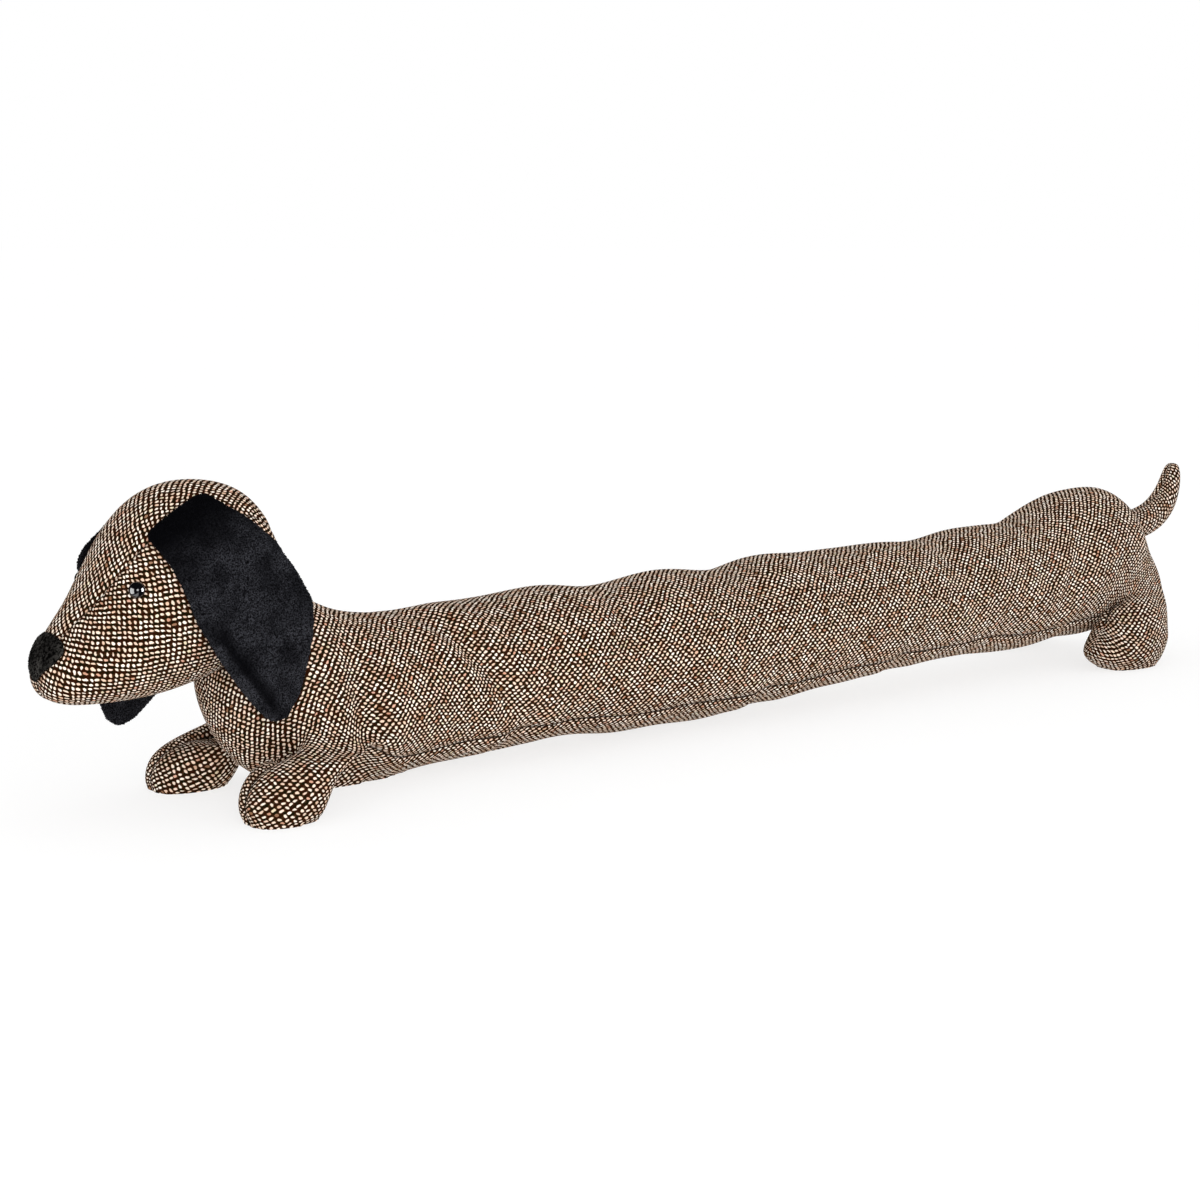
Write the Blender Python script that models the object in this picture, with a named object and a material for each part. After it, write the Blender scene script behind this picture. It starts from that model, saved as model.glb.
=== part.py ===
"""A draught excluder: a long stuffed dachshund that lies along the foot of a door.

Metres, +Z up, the head towards -X, the tail towards +X, the dog's left side
towards -Y. The pieces are the ones that are cut, filled and sewn together:
the trunk with its four legs, the head, two ears, the nose, two bead eyes and
the tail. Each is one closed solid, and sewn neighbours stay SEAT_GAP apart.
"""
import math
from collections import namedtuple

import bmesh
import bpy
from mathutils import Matrix, Vector
from mathutils.bvhtree import BVHTree

# ---------------------------------------------------------------- sizes
SEAT_GAP = 0.0004         # between two pieces that are sewn to each other
DRAPE_GAP = 0.0021        # between an ear and what it hangs over
FLOOR_SKIN = 0.0012       # what comes this near to the floor is pressed flat

LEFT, RIGHT = -1, 1       # the dog's left side is -Y

Section = namedtuple("Section", "x low high half_width")

# The trunk from the chest to the rump: where each section stands, its lowest
# and highest line and half its width. The uneven steps are the filling's lumps.
CHEST_TIP = (-0.3565, 0.066)
TRUNK = (
    Section(-0.3545, 0.048, 0.084, 0.018),
    Section(-0.3480, 0.030, 0.100, 0.032),
    Section(-0.3360, 0.012, 0.112, 0.043),
    Section(-0.3170, 0.002, 0.117, 0.049),
    Section(-0.2970, -0.001, 0.109, 0.051),
    Section(-0.2770, -0.002, 0.0985, 0.0505),
    Section(-0.2580, -0.002, 0.0955, 0.0490),
    Section(-0.2320, -0.002, 0.0940, 0.0475),
    Section(-0.2050, -0.002, 0.0965, 0.0480),
    Section(-0.1770, -0.002, 0.0955, 0.0472),
    Section(-0.1480, 0.005, 0.0985, 0.0482),
    Section(-0.1190, 0.005, 0.0980, 0.0480),
    Section(-0.0900, -0.002, 0.0930, 0.0472),
    Section(-0.0580, -0.002, 0.0995, 0.0485),
    Section(-0.0270, -0.002, 0.1000, 0.0488),
    Section(0.0040, -0.002, 0.0950, 0.0475),
    Section(0.0380, 0.007, 0.1035, 0.0488),
    Section(0.0720, 0.007, 0.0995, 0.0478),
    Section(0.1090, 0.008, 0.1007, 0.0470),
    Section(0.1460, 0.013, 0.1015, 0.0462),
    Section(0.1820, 0.012, 0.0990, 0.0455),
    Section(0.2200, 0.016, 0.1050, 0.0462),
    Section(0.2500, 0.015, 0.1050, 0.0466),
    Section(0.2780, 0.018, 0.1065, 0.0480),
    Section(0.3040, 0.018, 0.1160, 0.0500),
    Section(0.3270, 0.015, 0.1240, 0.0515),
    Section(0.3490, 0.016, 0.1255, 0.0510),
    Section(0.3690, 0.021, 0.1235, 0.0480),
    Section(0.3850, 0.025, 0.0920, 0.0412),
    Section(0.3965, 0.031, 0.0740, 0.0358),
    Section(0.4040, 0.041, 0.0625, 0.0240),
)
RUMP_TIP = (0.4055, 0.0520)
TRUNK_MID = 0.5           # height of the widest line, as a share of the section

# The head from the snout to the back of the skull.
SNOUT_TIP = (-0.4525, 0.0800)
HEAD = (
    Section(-0.4500, 0.0690, 0.0890, 0.0150),
    Section(-0.4440, 0.0650, 0.1005, 0.0230),
    Section(-0.4345, 0.0625, 0.1120, 0.0300),
    Section(-0.4230, 0.0617, 0.1255, 0.0365),
    Section(-0.4110, 0.0612, 0.1485, 0.0432),
    Section(-0.3970, 0.0612, 0.1675, 0.0455),
    Section(-0.3810, 0.0630, 0.1765, 0.0475),
    Section(-0.3640, 0.0675, 0.1785, 0.0478),
    Section(-0.3480, 0.0730, 0.1765, 0.0465),
    Section(-0.3350, 0.0800, 0.1700, 0.0425),
    Section(-0.3250, 0.0900, 0.1590, 0.0350),
    Section(-0.3190, 0.1050, 0.1430, 0.0200),
)
SKULL_TIP = (-0.3175, 0.1245)
HEAD_MID = 0.45

# Where the rows of a ring lie, in degrees from the belly line to the back
# line. Row SEAM_ROW carries the seam between a side panel and the belly
# panel, and the legs grow from the two strips of faces beside it.
ROW_ANGLES = (0, 25, 50, 72, 94, 115, 137, 158, 180)
SEAM_ROW = 2
PATCH_LENGTH = 3          # sections that a leg's root spans

# A leg is a stack of ovals; heel is how much higher an oval lies at its back.
# The filling has pushed the front paws towards the dog's left and splayed the
# right hind leg a little.
LegRing = namedtuple("LegRing", "x y z half_length half_width heel")
LEFT_FRONT = (
    LegRing(-0.3200, 0.0560, 0.0330, 0.0270, 0.0210, 0.000),
    LegRing(-0.3365, 0.0595, 0.0235, 0.0285, 0.0240, 0.002),
    LegRing(-0.3430, 0.0610, 0.0110, 0.0275, 0.0245, 0.005),
    LegRing(-0.3450, 0.0610, -0.0020, 0.0200, 0.0190, 0.001),
)
RIGHT_FRONT = (
    LegRing(-0.3220, 0.0330, 0.0300, 0.0270, 0.0205, 0.000),
    LegRing(-0.3410, 0.0355, 0.0215, 0.0300, 0.0235, 0.001),
    LegRing(-0.3465, 0.0370, 0.0105, 0.0300, 0.0245, 0.002),
    LegRing(-0.3480, 0.0370, -0.0020, 0.0235, 0.0190, 0.000),
)
LEFT_HIND = (
    LegRing(0.3553, 0.0440, 0.0480, 0.0295, 0.0240, 0.006),
    LegRing(0.3505, 0.0470, 0.0240, 0.0395, 0.0255, 0.012),
    LegRing(0.3400, 0.0485, 0.0110, 0.0425, 0.0240, 0.004),
    LegRing(0.3450, 0.0470, -0.0020, 0.0290, 0.0185, 0.000),
)
RIGHT_HIND = (
    LegRing(0.3580, 0.0490, 0.0460, 0.0310, 0.0235, 0.004),
    LegRing(0.3520, 0.0600, 0.0240, 0.0390, 0.0225, 0.010),
    LegRing(0.3480, 0.0660, 0.0110, 0.0390, 0.0205, 0.002),
    LegRing(0.3520, 0.0665, -0.0020, 0.0275, 0.0160, 0.000),
)
Leg = namedtuple("Leg", "side rings first_section")
LEGS = (
    Leg(LEFT, LEFT_FRONT, 3),
    Leg(RIGHT, RIGHT_FRONT, 3),
    Leg(LEFT, LEFT_HIND, 26),
    Leg(RIGHT, RIGHT_HIND, 26),
)

# Creases in the trunk's cloth: the line runs from one angle round the ring to
# another (degrees from the belly line) and leans as it climbs.
Crease = namedtuple("Crease", "side x lean low_angle high_angle depth width")
CREASES = (
    Crease(LEFT, -0.2830, -0.010, 20, 125, 0.0045, 0.0090),
    Crease(RIGHT, -0.2830, -0.010, 20, 125, 0.0045, 0.0090),
    Crease(LEFT, -0.2200, -0.050, 60, 180, 0.0028, 0.0080),
    Crease(RIGHT, -0.2120, -0.030, 70, 170, 0.0025, 0.0080),
    Crease(LEFT, -0.1720, 0.006, 15, 75, 0.0022, 0.0080),
    Crease(RIGHT, -0.1500, 0.012, 20, 110, 0.0022, 0.0090),
    Crease(LEFT, -0.0960, 0.010, 100, 180, 0.0022, 0.0090),
    Crease(RIGHT, -0.0700, -0.014, 40, 130, 0.0020, 0.0090),
    Crease(LEFT, 0.0100, 0.014, 110, 180, 0.0018, 0.0090),
    Crease(RIGHT, 0.0220, 0.012, 50, 150, 0.0018, 0.0090),
    Crease(LEFT, 0.0180, -0.006, 10, 70, 0.0024, 0.0080),
    Crease(LEFT, 0.0820, 0.010, 110, 180, 0.0016, 0.0090),
    Crease(RIGHT, 0.1020, -0.012, 40, 140, 0.0018, 0.0090),
    Crease(LEFT, 0.1380, -0.006, 10, 70, 0.0020, 0.0080),
    Crease(LEFT, 0.1880, 0.012, 100, 180, 0.0018, 0.0090),
    Crease(RIGHT, 0.2000, 0.010, 50, 150, 0.0018, 0.0090),
    Crease(LEFT, 0.2950, 0.050, 60, 150, 0.0022, 0.0100),
    Crease(RIGHT, 0.2950, 0.045, 60, 150, 0.0022, 0.0100),
)
CREASE_RIM = 0.30         # share of its depth that the cloth swells beside it

# The tail, a sewn tube that leaves the rump level and curls upwards.
TailRing = namedtuple("TailRing", "x z radius")
TAIL = (
    TailRing(0.3740, 0.0890, 0.0105),
    TailRing(0.3900, 0.0903, 0.0114),
    TailRing(0.4060, 0.0918, 0.0118),
    TailRing(0.4230, 0.0955, 0.0118),
    TailRing(0.4360, 0.1040, 0.0108),
    TailRing(0.4440, 0.1165, 0.0086),
    TailRing(0.4470, 0.1305, 0.0065),
)
TAIL_SIDES = 8

# The ears, each one leaf-shaped sheet sewn to the dome along its upper front
# edge. The edges are (x, z) points from the top to the tip, seen from the side.
Ear = namedtuple("Ear", "name side front back")
EARS = (
    Ear("ear_left", LEFT,
        front=((-0.3660, 0.1688), (-0.3715, 0.1680), (-0.3790, 0.1648), (-0.3865, 0.1608),
               (-0.3995, 0.1528), (-0.3970, 0.1455), (-0.3928, 0.1359), (-0.3888, 0.1241),
               (-0.3838, 0.1087), (-0.3774, 0.0975), (-0.3709, 0.0863), (-0.3604, 0.0707),
               (-0.3485, 0.0559), (-0.3440, 0.0520), (-0.3420, 0.0513)),
        back=((-0.3645, 0.1688), (-0.3600, 0.1655), (-0.3525, 0.1592), (-0.3440, 0.1520),
              (-0.3350, 0.1425), (-0.3262, 0.1305), (-0.3175, 0.1129), (-0.3169, 0.1016),
              (-0.3192, 0.0895), (-0.3231, 0.0775), (-0.3288, 0.0636), (-0.3370, 0.0520),
              (-0.3400, 0.0513))),
    Ear("ear_right", RIGHT,
        front=((-0.3660, 0.1688), (-0.3715, 0.1676), (-0.3785, 0.1635), (-0.3855, 0.1580),
               (-0.3920, 0.1505), (-0.3968, 0.1447), (-0.4020, 0.1395), (-0.4055, 0.1338),
               (-0.4066, 0.1285), (-0.4050, 0.1220), (-0.4022, 0.1120), (-0.4005, 0.0970),
               (-0.3998, 0.0800), (-0.3980, 0.0620), (-0.3952, 0.0505), (-0.3915, 0.0410),
               (-0.3860, 0.0372)),
        back=((-0.3645, 0.1688), (-0.3600, 0.1655), (-0.3525, 0.1592), (-0.3440, 0.1520),
              (-0.3380, 0.1420), (-0.3350, 0.1280), (-0.3355, 0.1120), (-0.3400, 0.0920),
              (-0.3490, 0.0720), (-0.3630, 0.0531), (-0.3773, 0.0402), (-0.3835, 0.0372))),
)
EAR_CORNER = 4            # the front edge's point where the sewn stretch ends
EAR_EASE = 0.015          # how far from the sewn edge the ear comes clear
# How far out an ear falls at least, by its height.
Fall = namedtuple("Fall", "z out")
EAR_FALL = {
    LEFT: (Fall(0.1700, 0.0100), Fall(0.1560, 0.0200), Fall(0.1450, 0.0320),
           Fall(0.1325, 0.0430), Fall(0.1150, 0.0475), Fall(0.0300, 0.0490)),
    RIGHT: (Fall(0.1700, 0.0060), Fall(0.1560, 0.0170), Fall(0.1490, 0.0280),
            Fall(0.1400, 0.0450), Fall(0.1300, 0.0470), Fall(0.0300, 0.0490)),
}
EAR_THICKNESS = 0.003
EAR_ROWS = 20
EAR_COLUMNS = 10
EAR_SMOOTHING = 8

# The nose patch and the bead eyes.
NOSE_CENTRE = (-0.4490, 0.0905)
NOSE_TILT = 22            # degrees that the patch looks upwards
NOSE_HALF_HEIGHT = 0.0125
NOSE_HALF_WIDTH = 0.0225
NOSE_SHAPE = (0.70, 0.36)  # width at the middle, and how much wider above it
NOSE_CROWN = 0.0022
NOSE_EDGE = 0.0010
NOSE_RINGS = 5
NOSE_SIDES = 24
Eye = namedtuple("Eye", "name side x z")
EYES = (
    Eye("eye_left", LEFT, -0.4098, 0.1257),
    Eye("eye_right", RIGHT, -0.4072, 0.1222),
)
EYE_RADIUS = 0.0040
EYE_CUT = 0.0004          # how far in front of its middle the bead's flat back lies

Finish = namedtuple("Finish", "name colour roughness metallic")
TWEED = Finish("tweed", (0.30, 0.23, 0.18), 0.90, 0.0)
PLUSH = Finish("plush", (0.012, 0.012, 0.015), 0.80, 0.0)
BEAD = Finish("bead", (0.008, 0.008, 0.009), 0.08, 0.0)


# ---------------------------------------------------------------- helpers
def clear_scene():
    """Remove every object, so that the file holds the dog alone."""
    for leftover in list(bpy.data.objects):
        bpy.data.objects.remove(leftover, do_unlink=True)


def material(piece_name, finish):
    """A piece's own Principled material."""
    made = bpy.data.materials.new(piece_name + "_" + finish.name)
    made.use_nodes = True
    shader = made.node_tree.nodes["Principled BSDF"]
    shader.inputs["Base Color"].default_value = (*finish.colour, 1.0)
    shader.inputs["Roughness"].default_value = finish.roughness
    shader.inputs["Metallic"].default_value = finish.metallic
    made.diffuse_color = (*finish.colour, 1.0)
    return made


def add_object(name, mesh, finish=None):
    """Put a mesh into the scene under its node's name."""
    made = bpy.data.objects.new(name, mesh)
    bpy.context.scene.collection.objects.link(made)
    if finish:
        mesh.materials.append(material(name, finish))
    return made


def mesh_from(bm, name):
    """Turn a bmesh into a smooth mesh whose faces point outwards."""
    bmesh.ops.recalc_face_normals(bm, faces=bm.faces)
    mesh = bpy.data.meshes.new(name)
    bm.to_mesh(mesh)
    bm.free()
    mesh.shade_smooth()
    return mesh


def subdivided(mesh, levels):
    """The mesh after Catmull-Clark subdivision, as plain geometry."""
    carrier = add_object("subdivision_carrier", mesh)
    smooth = carrier.modifiers.new("Subdivision", "SUBSURF")
    smooth.levels = levels
    smooth.render_levels = levels
    evaluated = carrier.evaluated_get(bpy.context.evaluated_depsgraph_get())
    result = bpy.data.meshes.new_from_object(evaluated)
    bpy.data.objects.remove(carrier, do_unlink=True)
    return result


def row_angle(row):
    """Angle of a ring's row from the belly line, the left side negative."""
    last = len(ROW_ANGLES) - 1
    if row <= last:
        return -math.radians(ROW_ANGLES[row])
    return math.radians(ROW_ANGLES[2 * last - row])


def ring_size():
    return 2 * (len(ROW_ANGLES) - 1)


def section_ring(bm, section, mid):
    """The corner points of one section, from the belly line round the left."""
    middle = section.low + (section.high - section.low) * mid
    ring = []
    for row in range(ring_size()):
        angle = row_angle(row)
        rise = -math.cos(angle)
        reach = section.high - middle if rise > 0 else middle - section.low
        point = (section.x, section.half_width * math.sin(angle), middle + reach * rise)
        ring.append(bm.verts.new(point))
    return ring


def skin_between(bm, first, second, rows=None):
    """Quads between two rings that have the same number of points."""
    count = len(first)
    for row in rows if rows is not None else range(count):
        after = (row + 1) % count
        bm.faces.new((first[row], first[after], second[after], second[row]))


def close_end(bm, ring, tip):
    """Close a ring with a fan of triangles to a tip on the middle plane."""
    apex = bm.verts.new((tip[0], 0.0, tip[1]))
    for row, vert in enumerate(ring):
        bm.faces.new((vert, ring[(row + 1) % len(ring)], apex))


# ---------------------------------------------------------------- trunk
def leg_row(side, step):
    """The ring's row that lies step rows above the seam on one side."""
    row = SEAM_ROW + step
    return row if side == LEFT else (ring_size() - row) % ring_size()


def patch_faces(leg):
    """(section, row) of the trunk's faces that a leg's root takes out."""
    rows = [min(leg_row(leg.side, step), leg_row(leg.side, step + 1)) for step in (-1, 0)]
    spans = range(leg.first_section, leg.first_section + PATCH_LENGTH)
    return {(span, row) for span in spans for row in rows}


def patch_border(leg, rings):
    """The root's border points: front, outer side, back, inner side."""
    first = leg.first_section
    last = first + PATCH_LENGTH
    inner, seam, outer = (leg_row(leg.side, step) for step in (-1, 0, 1))
    border = [rings[first][seam]]
    border += [rings[span][outer] for span in range(first, last + 1)]
    border.append(rings[last][seam])
    border += [rings[span][inner] for span in range(last, first - 1, -1)]
    return border


def leg_ring(bm, leg, ring, count):
    """An oval of points round the leg, in the order of the root's border."""
    points = []
    for index in range(count):
        turn = math.tau * index / count
        along = ring.x - ring.half_length * math.cos(turn)
        across = ring.y + ring.half_width * math.sin(turn)
        height = ring.z + ring.heel * (1 - math.cos(turn)) / 2
        points.append(bm.verts.new((along, leg.side * across, height)))
    return points


def add_leg(bm, leg, rings):
    """Grow a leg out of the trunk's cage down to its flat sole."""
    border = patch_border(leg, rings)
    for ring in leg.rings:
        lower = leg_ring(bm, leg, ring, len(border))
        skin_between(bm, border, lower)
        border = lower
    sole = leg.rings[-1]
    spine = [border[0]]
    for step in range(1, PATCH_LENGTH):
        along = sole.x + sole.half_length * (2 * step / PATCH_LENGTH - 1)
        spine.append(bm.verts.new((along, leg.side * sole.y, sole.z)))
    spine.append(border[PATCH_LENGTH + 2])
    outer = border[1:PATCH_LENGTH + 2]
    inner = [border[-1 - step] for step in range(PATCH_LENGTH + 1)]
    for edge in (outer, inner):
        for step in range(PATCH_LENGTH):
            bm.faces.new((edge[step], edge[step + 1], spine[step + 1], spine[step]))


def trunk_cage():
    """The coarse mesh of the trunk and its legs."""
    bm = bmesh.new()
    rings = [section_ring(bm, section, TRUNK_MID) for section in TRUNK]
    taken = set().union(*(patch_faces(leg) for leg in LEGS))
    for span in range(len(rings) - 1):
        rows = [row for row in range(ring_size()) if (span, row) not in taken]
        skin_between(bm, rings[span], rings[span + 1], rows)
    close_end(bm, rings[0], CHEST_TIP)
    close_end(bm, rings[-1], RUMP_TIP)
    for leg in LEGS:
        add_leg(bm, leg, rings)
    return mesh_from(bm, "trunk_cage")


def trunk_middle(x):
    """Height of the trunk's middle line at one place along it."""
    for before, after in zip(TRUNK, TRUNK[1:]):
        if x <= after.x:
            share = min(max((x - before.x) / (after.x - before.x), 0.0), 1.0)
            low = before.low + (after.low - before.low) * share
            high = before.high + (after.high - before.high) * share
            return (low + high) / 2
    return (TRUNK[-1].low + TRUNK[-1].high) / 2


def crease_depth(x, side, angle):
    """How far the creases draw the cloth in at one place on the trunk."""
    depth = 0.0
    for crease in CREASES:
        share = (angle - crease.low_angle) / (crease.high_angle - crease.low_angle)
        if crease.side != side or not 0.0 < share < 1.0:
            continue
        window = math.sin(math.pi * share) ** 0.7
        away = abs(x - crease.x - crease.lean * (share - 0.5)) / crease.width
        rim = CREASE_RIM * math.exp(-((away - 1.7) / 0.8) ** 2)
        depth += crease.depth * window * (math.exp(-away ** 2) - rim)
    return depth


def press_creases(mesh):
    """Draw the trunk's skin in along its creases."""
    for vert in mesh.vertices:
        inward = Vector((0.0, -vert.co.y, trunk_middle(vert.co.x) - vert.co.z))
        angle = math.degrees(math.atan2(abs(inward.y), inward.z))
        side = LEFT if vert.co.y < 0.0 else RIGHT
        depth = crease_depth(vert.co.x, side, angle)
        if inward.length > 0.02:
            vert.co += inward.normalized() * depth


def press_on_floor(mesh):
    """Flatten what lies on the floor."""
    for vert in mesh.vertices:
        if vert.co.z < FLOOR_SKIN:
            vert.co.z = 0.0


def make_trunk():
    mesh = subdivided(trunk_cage(), 1)
    press_creases(mesh)
    press_on_floor(mesh)
    return add_object("trunk", mesh, TWEED)


# ---------------------------------------------------------------- head
def head_cage():
    bm = bmesh.new()
    rings = [section_ring(bm, section, HEAD_MID) for section in HEAD]
    for span in range(len(rings) - 1):
        skin_between(bm, rings[span], rings[span + 1])
    close_end(bm, rings[0], SNOUT_TIP)
    close_end(bm, rings[-1], SKULL_TIP)
    return mesh_from(bm, "head_cage")


def make_head():
    return add_object("head", subdivided(head_cage(), 1), TWEED)


# ---------------------------------------------------------------- tail
def make_tail():
    bm = bmesh.new()
    rings = []
    for index, here in enumerate(TAIL):
        before = TAIL[max(index - 1, 0)]
        after = TAIL[min(index + 1, len(TAIL) - 1)]
        heading = Vector((after.x - before.x, 0.0, after.z - before.z)).normalized()
        outward = Vector((heading.z, 0.0, -heading.x))
        centre = Vector((here.x, 0.0, here.z))
        ring = []
        for side in range(TAIL_SIDES):
            turn = math.tau * side / TAIL_SIDES
            offset = outward * math.cos(turn) + Vector((0.0, math.sin(turn), 0.0))
            ring.append(bm.verts.new(centre + offset * here.radius))
        rings.append(ring)
    for first, second in zip(rings, rings[1:]):
        skin_between(bm, first, second)
    bm.faces.new(rings[0])
    heading = Vector((TAIL[-1].x - TAIL[-2].x, 0.0, TAIL[-1].z - TAIL[-2].z)).normalized()
    tip = Vector((TAIL[-1].x, 0.0, TAIL[-1].z)) + heading * TAIL[-1].radius
    close_end(bm, rings[-1], (tip.x, tip.z))
    return add_object("tail", subdivided(mesh_from(bm, "tail_cage"), 1), TWEED)


# ---------------------------------------------------------------- seams
def swollen_copy(piece):
    """A copy of a piece, SEAT_GAP larger all round, that only cuts others."""
    mesh = piece.data.copy()
    for vert, source in zip(mesh.vertices, piece.data.vertices):
        vert.co = source.co + source.normal * SEAT_GAP
    cutter = add_object(piece.name + "_cutter", mesh)
    cutter.hide_render = True
    cutter.display_type = "WIRE"
    return cutter


def seat(piece, neighbour):
    """Cut a piece back to where it is sewn against its neighbour."""
    cut = piece.modifiers.new("seat on " + neighbour.name, "BOOLEAN")
    cut.operation = "DIFFERENCE"
    cut.object = swollen_copy(neighbour)


def surface_of(*pieces):
    """Search trees of the finished shapes of some pieces."""
    depsgraph = bpy.context.evaluated_depsgraph_get()
    return [BVHTree.FromObject(piece, depsgraph) for piece in pieces]


# ---------------------------------------------------------------- ears
def edge_at(edge, z):
    """X of an ear's edge at one height."""
    for (high_x, high_z), (low_x, low_z) in zip(edge, edge[1:]):
        if z >= low_z:
            share = (high_z - z) / (high_z - low_z)
            return high_x + (low_x - high_x) * share
    return edge[-1][0]


def ear_places(ear):
    """X and Z of the points of an ear's sheet, row by row from its top."""
    top, tip = ear.front[0][1], ear.front[-1][1]
    rows = []
    for row in range(EAR_ROWS + 1):
        fall = row / EAR_ROWS
        z = top + (tip - top) * (1 - math.cos(math.pi * fall)) / 2
        front, back = edge_at(ear.front, z), edge_at(ear.back, z)
        line = []
        for column in range(EAR_COLUMNS + 1):
            share = (1 - math.cos(math.pi * column / EAR_COLUMNS)) / 2
            line.append((front + (back - front) * share, z))
        rows.append(line)
    return rows


def fall_at(side, z):
    """How far out an ear falls at least at one height."""
    falls = EAR_FALL[side]
    for upper, lower in zip(falls, falls[1:]):
        if z >= lower.z:
            share = min(max((upper.z - z) / (upper.z - lower.z), 0.0), 1.0)
            return upper.out + (lower.out - upper.out) * share
    return falls[-1].out


def gap_at(ear, x, z):
    """The gap under an ear, small along the sewn edge and wider away from it."""
    top, corner = Vector(ear.front[0]), Vector(ear.front[EAR_CORNER])
    along = (corner - top).normalized()
    away = abs(along.cross(Vector((x, z)) - top))
    return SEAT_GAP + (DRAPE_GAP - SEAT_GAP) * min(away / EAR_EASE, 1.0)


def laid_on(ear, x, z, trees):
    """Where an ear's sheet starts at (x, z): on the body, or out in the air."""
    start = Vector((x, ear.side * 0.2, z))
    place = Vector((x, ear.side * fall_at(ear.side, z), z))
    for tree in trees:
        reached, normal = tree.ray_cast(start, Vector((0.0, -ear.side, 0.0)))[:2]
        if reached and reached.y * ear.side > abs(place.y):
            place = reached + normal * gap_at(ear, x, z)
    return place


def pushed_clear(place, trees, gap):
    """Move a point out of the body until it clears it by the gap."""
    for tree in trees:
        nearest, normal = tree.find_nearest(place)[:2]
        short = gap - (place - nearest).dot(normal)
        if short > 0.0:
            place = place + normal * short
    return place


def drape(ear, trees):
    """Lay an ear's sheet over the body and let it hang below."""
    rows = [[laid_on(ear, x, z, trees) for x, z in line] for line in ear_places(ear)]
    for _ in range(EAR_SMOOTHING):
        smooth = []
        for row, line in enumerate(rows):
            above, below = rows[max(row - 1, 0)], rows[min(row + 1, len(rows) - 1)]
            new = []
            for column, place in enumerate(line):
                before, after = max(column - 1, 0), min(column + 1, len(line) - 1)
                mean = (above[column].y + below[column].y + line[before].y + line[after].y) / 4
                moved = Vector((place.x, mean, place.z))
                new.append(pushed_clear(moved, trees, gap_at(ear, place.x, place.z)))
            smooth.append(new)
        rows = smooth
    return rows


def make_ear(ear, trees):
    """An ear: one sheet of plush of even thickness, closed all round."""
    bm = bmesh.new()
    grid = [[bm.verts.new(place) for place in line] for line in drape(ear, trees)]
    for line, below in zip(grid, grid[1:]):
        for column in range(EAR_COLUMNS):
            corners = (line[column], line[column + 1], below[column + 1], below[column])
            bm.faces.new(corners if ear.side == RIGHT else corners[::-1])
    mesh = bpy.data.meshes.new(ear.name)
    bm.to_mesh(mesh)
    bm.free()
    made = add_object(ear.name, mesh, PLUSH)
    thick = made.modifiers.new("Solidify", "SOLIDIFY")
    thick.thickness = EAR_THICKNESS
    thick.offset = 1.0
    return made


# ---------------------------------------------------------------- nose
def make_nose(head):
    """A padded oval patch over the end of the snout."""
    tree = surface_of(head)[0]
    centre = Vector((NOSE_CENTRE[0], 0.0, NOSE_CENTRE[1]))
    tilt = math.radians(NOSE_TILT)
    inwards = Vector((math.cos(tilt), 0.0, -math.sin(tilt)))
    up = Vector((math.sin(tilt), 0.0, math.cos(tilt)))
    bm = bmesh.new()
    inner, outer = [], []
    for ring in range(NOSE_RINGS + 1):
        share = ring / NOSE_RINGS
        crown = NOSE_EDGE + (NOSE_CROWN - NOSE_EDGE) * math.sqrt(1 - share ** 2)
        count = NOSE_SIDES if ring else 1
        under, over = [], []
        for side in range(count):
            turn = math.tau * side / count
            width = NOSE_HALF_WIDTH * (NOSE_SHAPE[0] + NOSE_SHAPE[1] * math.cos(turn))
            across = Vector((0.0, share * width * math.sin(turn), 0.0))
            along = up * share * NOSE_HALF_HEIGHT * math.cos(turn)
            start = centre + across + along - inwards * 0.1
            place, normal = tree.ray_cast(start, inwards)[:2]
            under.append(bm.verts.new(place + normal * SEAT_GAP))
            over.append(bm.verts.new(place + normal * (SEAT_GAP + crown)))
        inner.append(under)
        outer.append(over)
    for rings in (inner, outer):
        for side in range(NOSE_SIDES):
            bm.faces.new((rings[0][0], rings[1][side], rings[1][(side + 1) % NOSE_SIDES]))
        for first, second in zip(rings[1:], rings[2:]):
            skin_between(bm, first, second)
    skin_between(bm, inner[-1], outer[-1])
    return add_object("nose", mesh_from(bm, "nose"), PLUSH)


# ---------------------------------------------------------------- eyes
def make_eye(eye, head):
    """A bead: a dome with a flat back that rests against the face."""
    tree = surface_of(head)[0]
    start = Vector((eye.x, eye.side * 0.2, eye.z))
    place, normal = tree.ray_cast(start, Vector((0.0, -eye.side, 0.0)))[:2]
    bm = bmesh.new()
    bmesh.ops.create_uvsphere(bm, u_segments=16, v_segments=10, radius=EYE_RADIUS)
    bmesh.ops.bisect_plane(
        bm, geom=bm.verts[:] + bm.edges[:] + bm.faces[:], clear_inner=True,
        plane_co=(0.0, 0.0, EYE_CUT), plane_no=(0.0, 0.0, 1.0))
    rim = [edge for edge in bm.edges if edge.is_boundary]
    bmesh.ops.contextual_create(bm, geom=rim)
    turn = normal.to_track_quat("Z", "Y").to_matrix().to_4x4()
    turn.translation = place + normal * (SEAT_GAP - EYE_CUT)
    bmesh.ops.transform(bm, matrix=turn, verts=bm.verts)
    return add_object(eye.name, mesh_from(bm, eye.name), BEAD)


# ---------------------------------------------------------------- the dog
def centre_on_floor():
    """Move everything so that the box's bottom centre is the origin."""
    depsgraph = bpy.context.evaluated_depsgraph_get()
    corners = []
    for piece in bpy.data.objects:
        if not piece.hide_render:
            finished = piece.evaluated_get(depsgraph).to_mesh()
            corners += [vert.co.copy() for vert in finished.vertices]
    middle = [(min(axis) + max(axis)) / 2 for axis in zip(*corners)]
    lowest = min(corner.z for corner in corners)
    shift = Matrix.Translation((-middle[0], -middle[1], -lowest))
    for piece in bpy.data.objects:
        piece.data.transform(shift)


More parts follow.
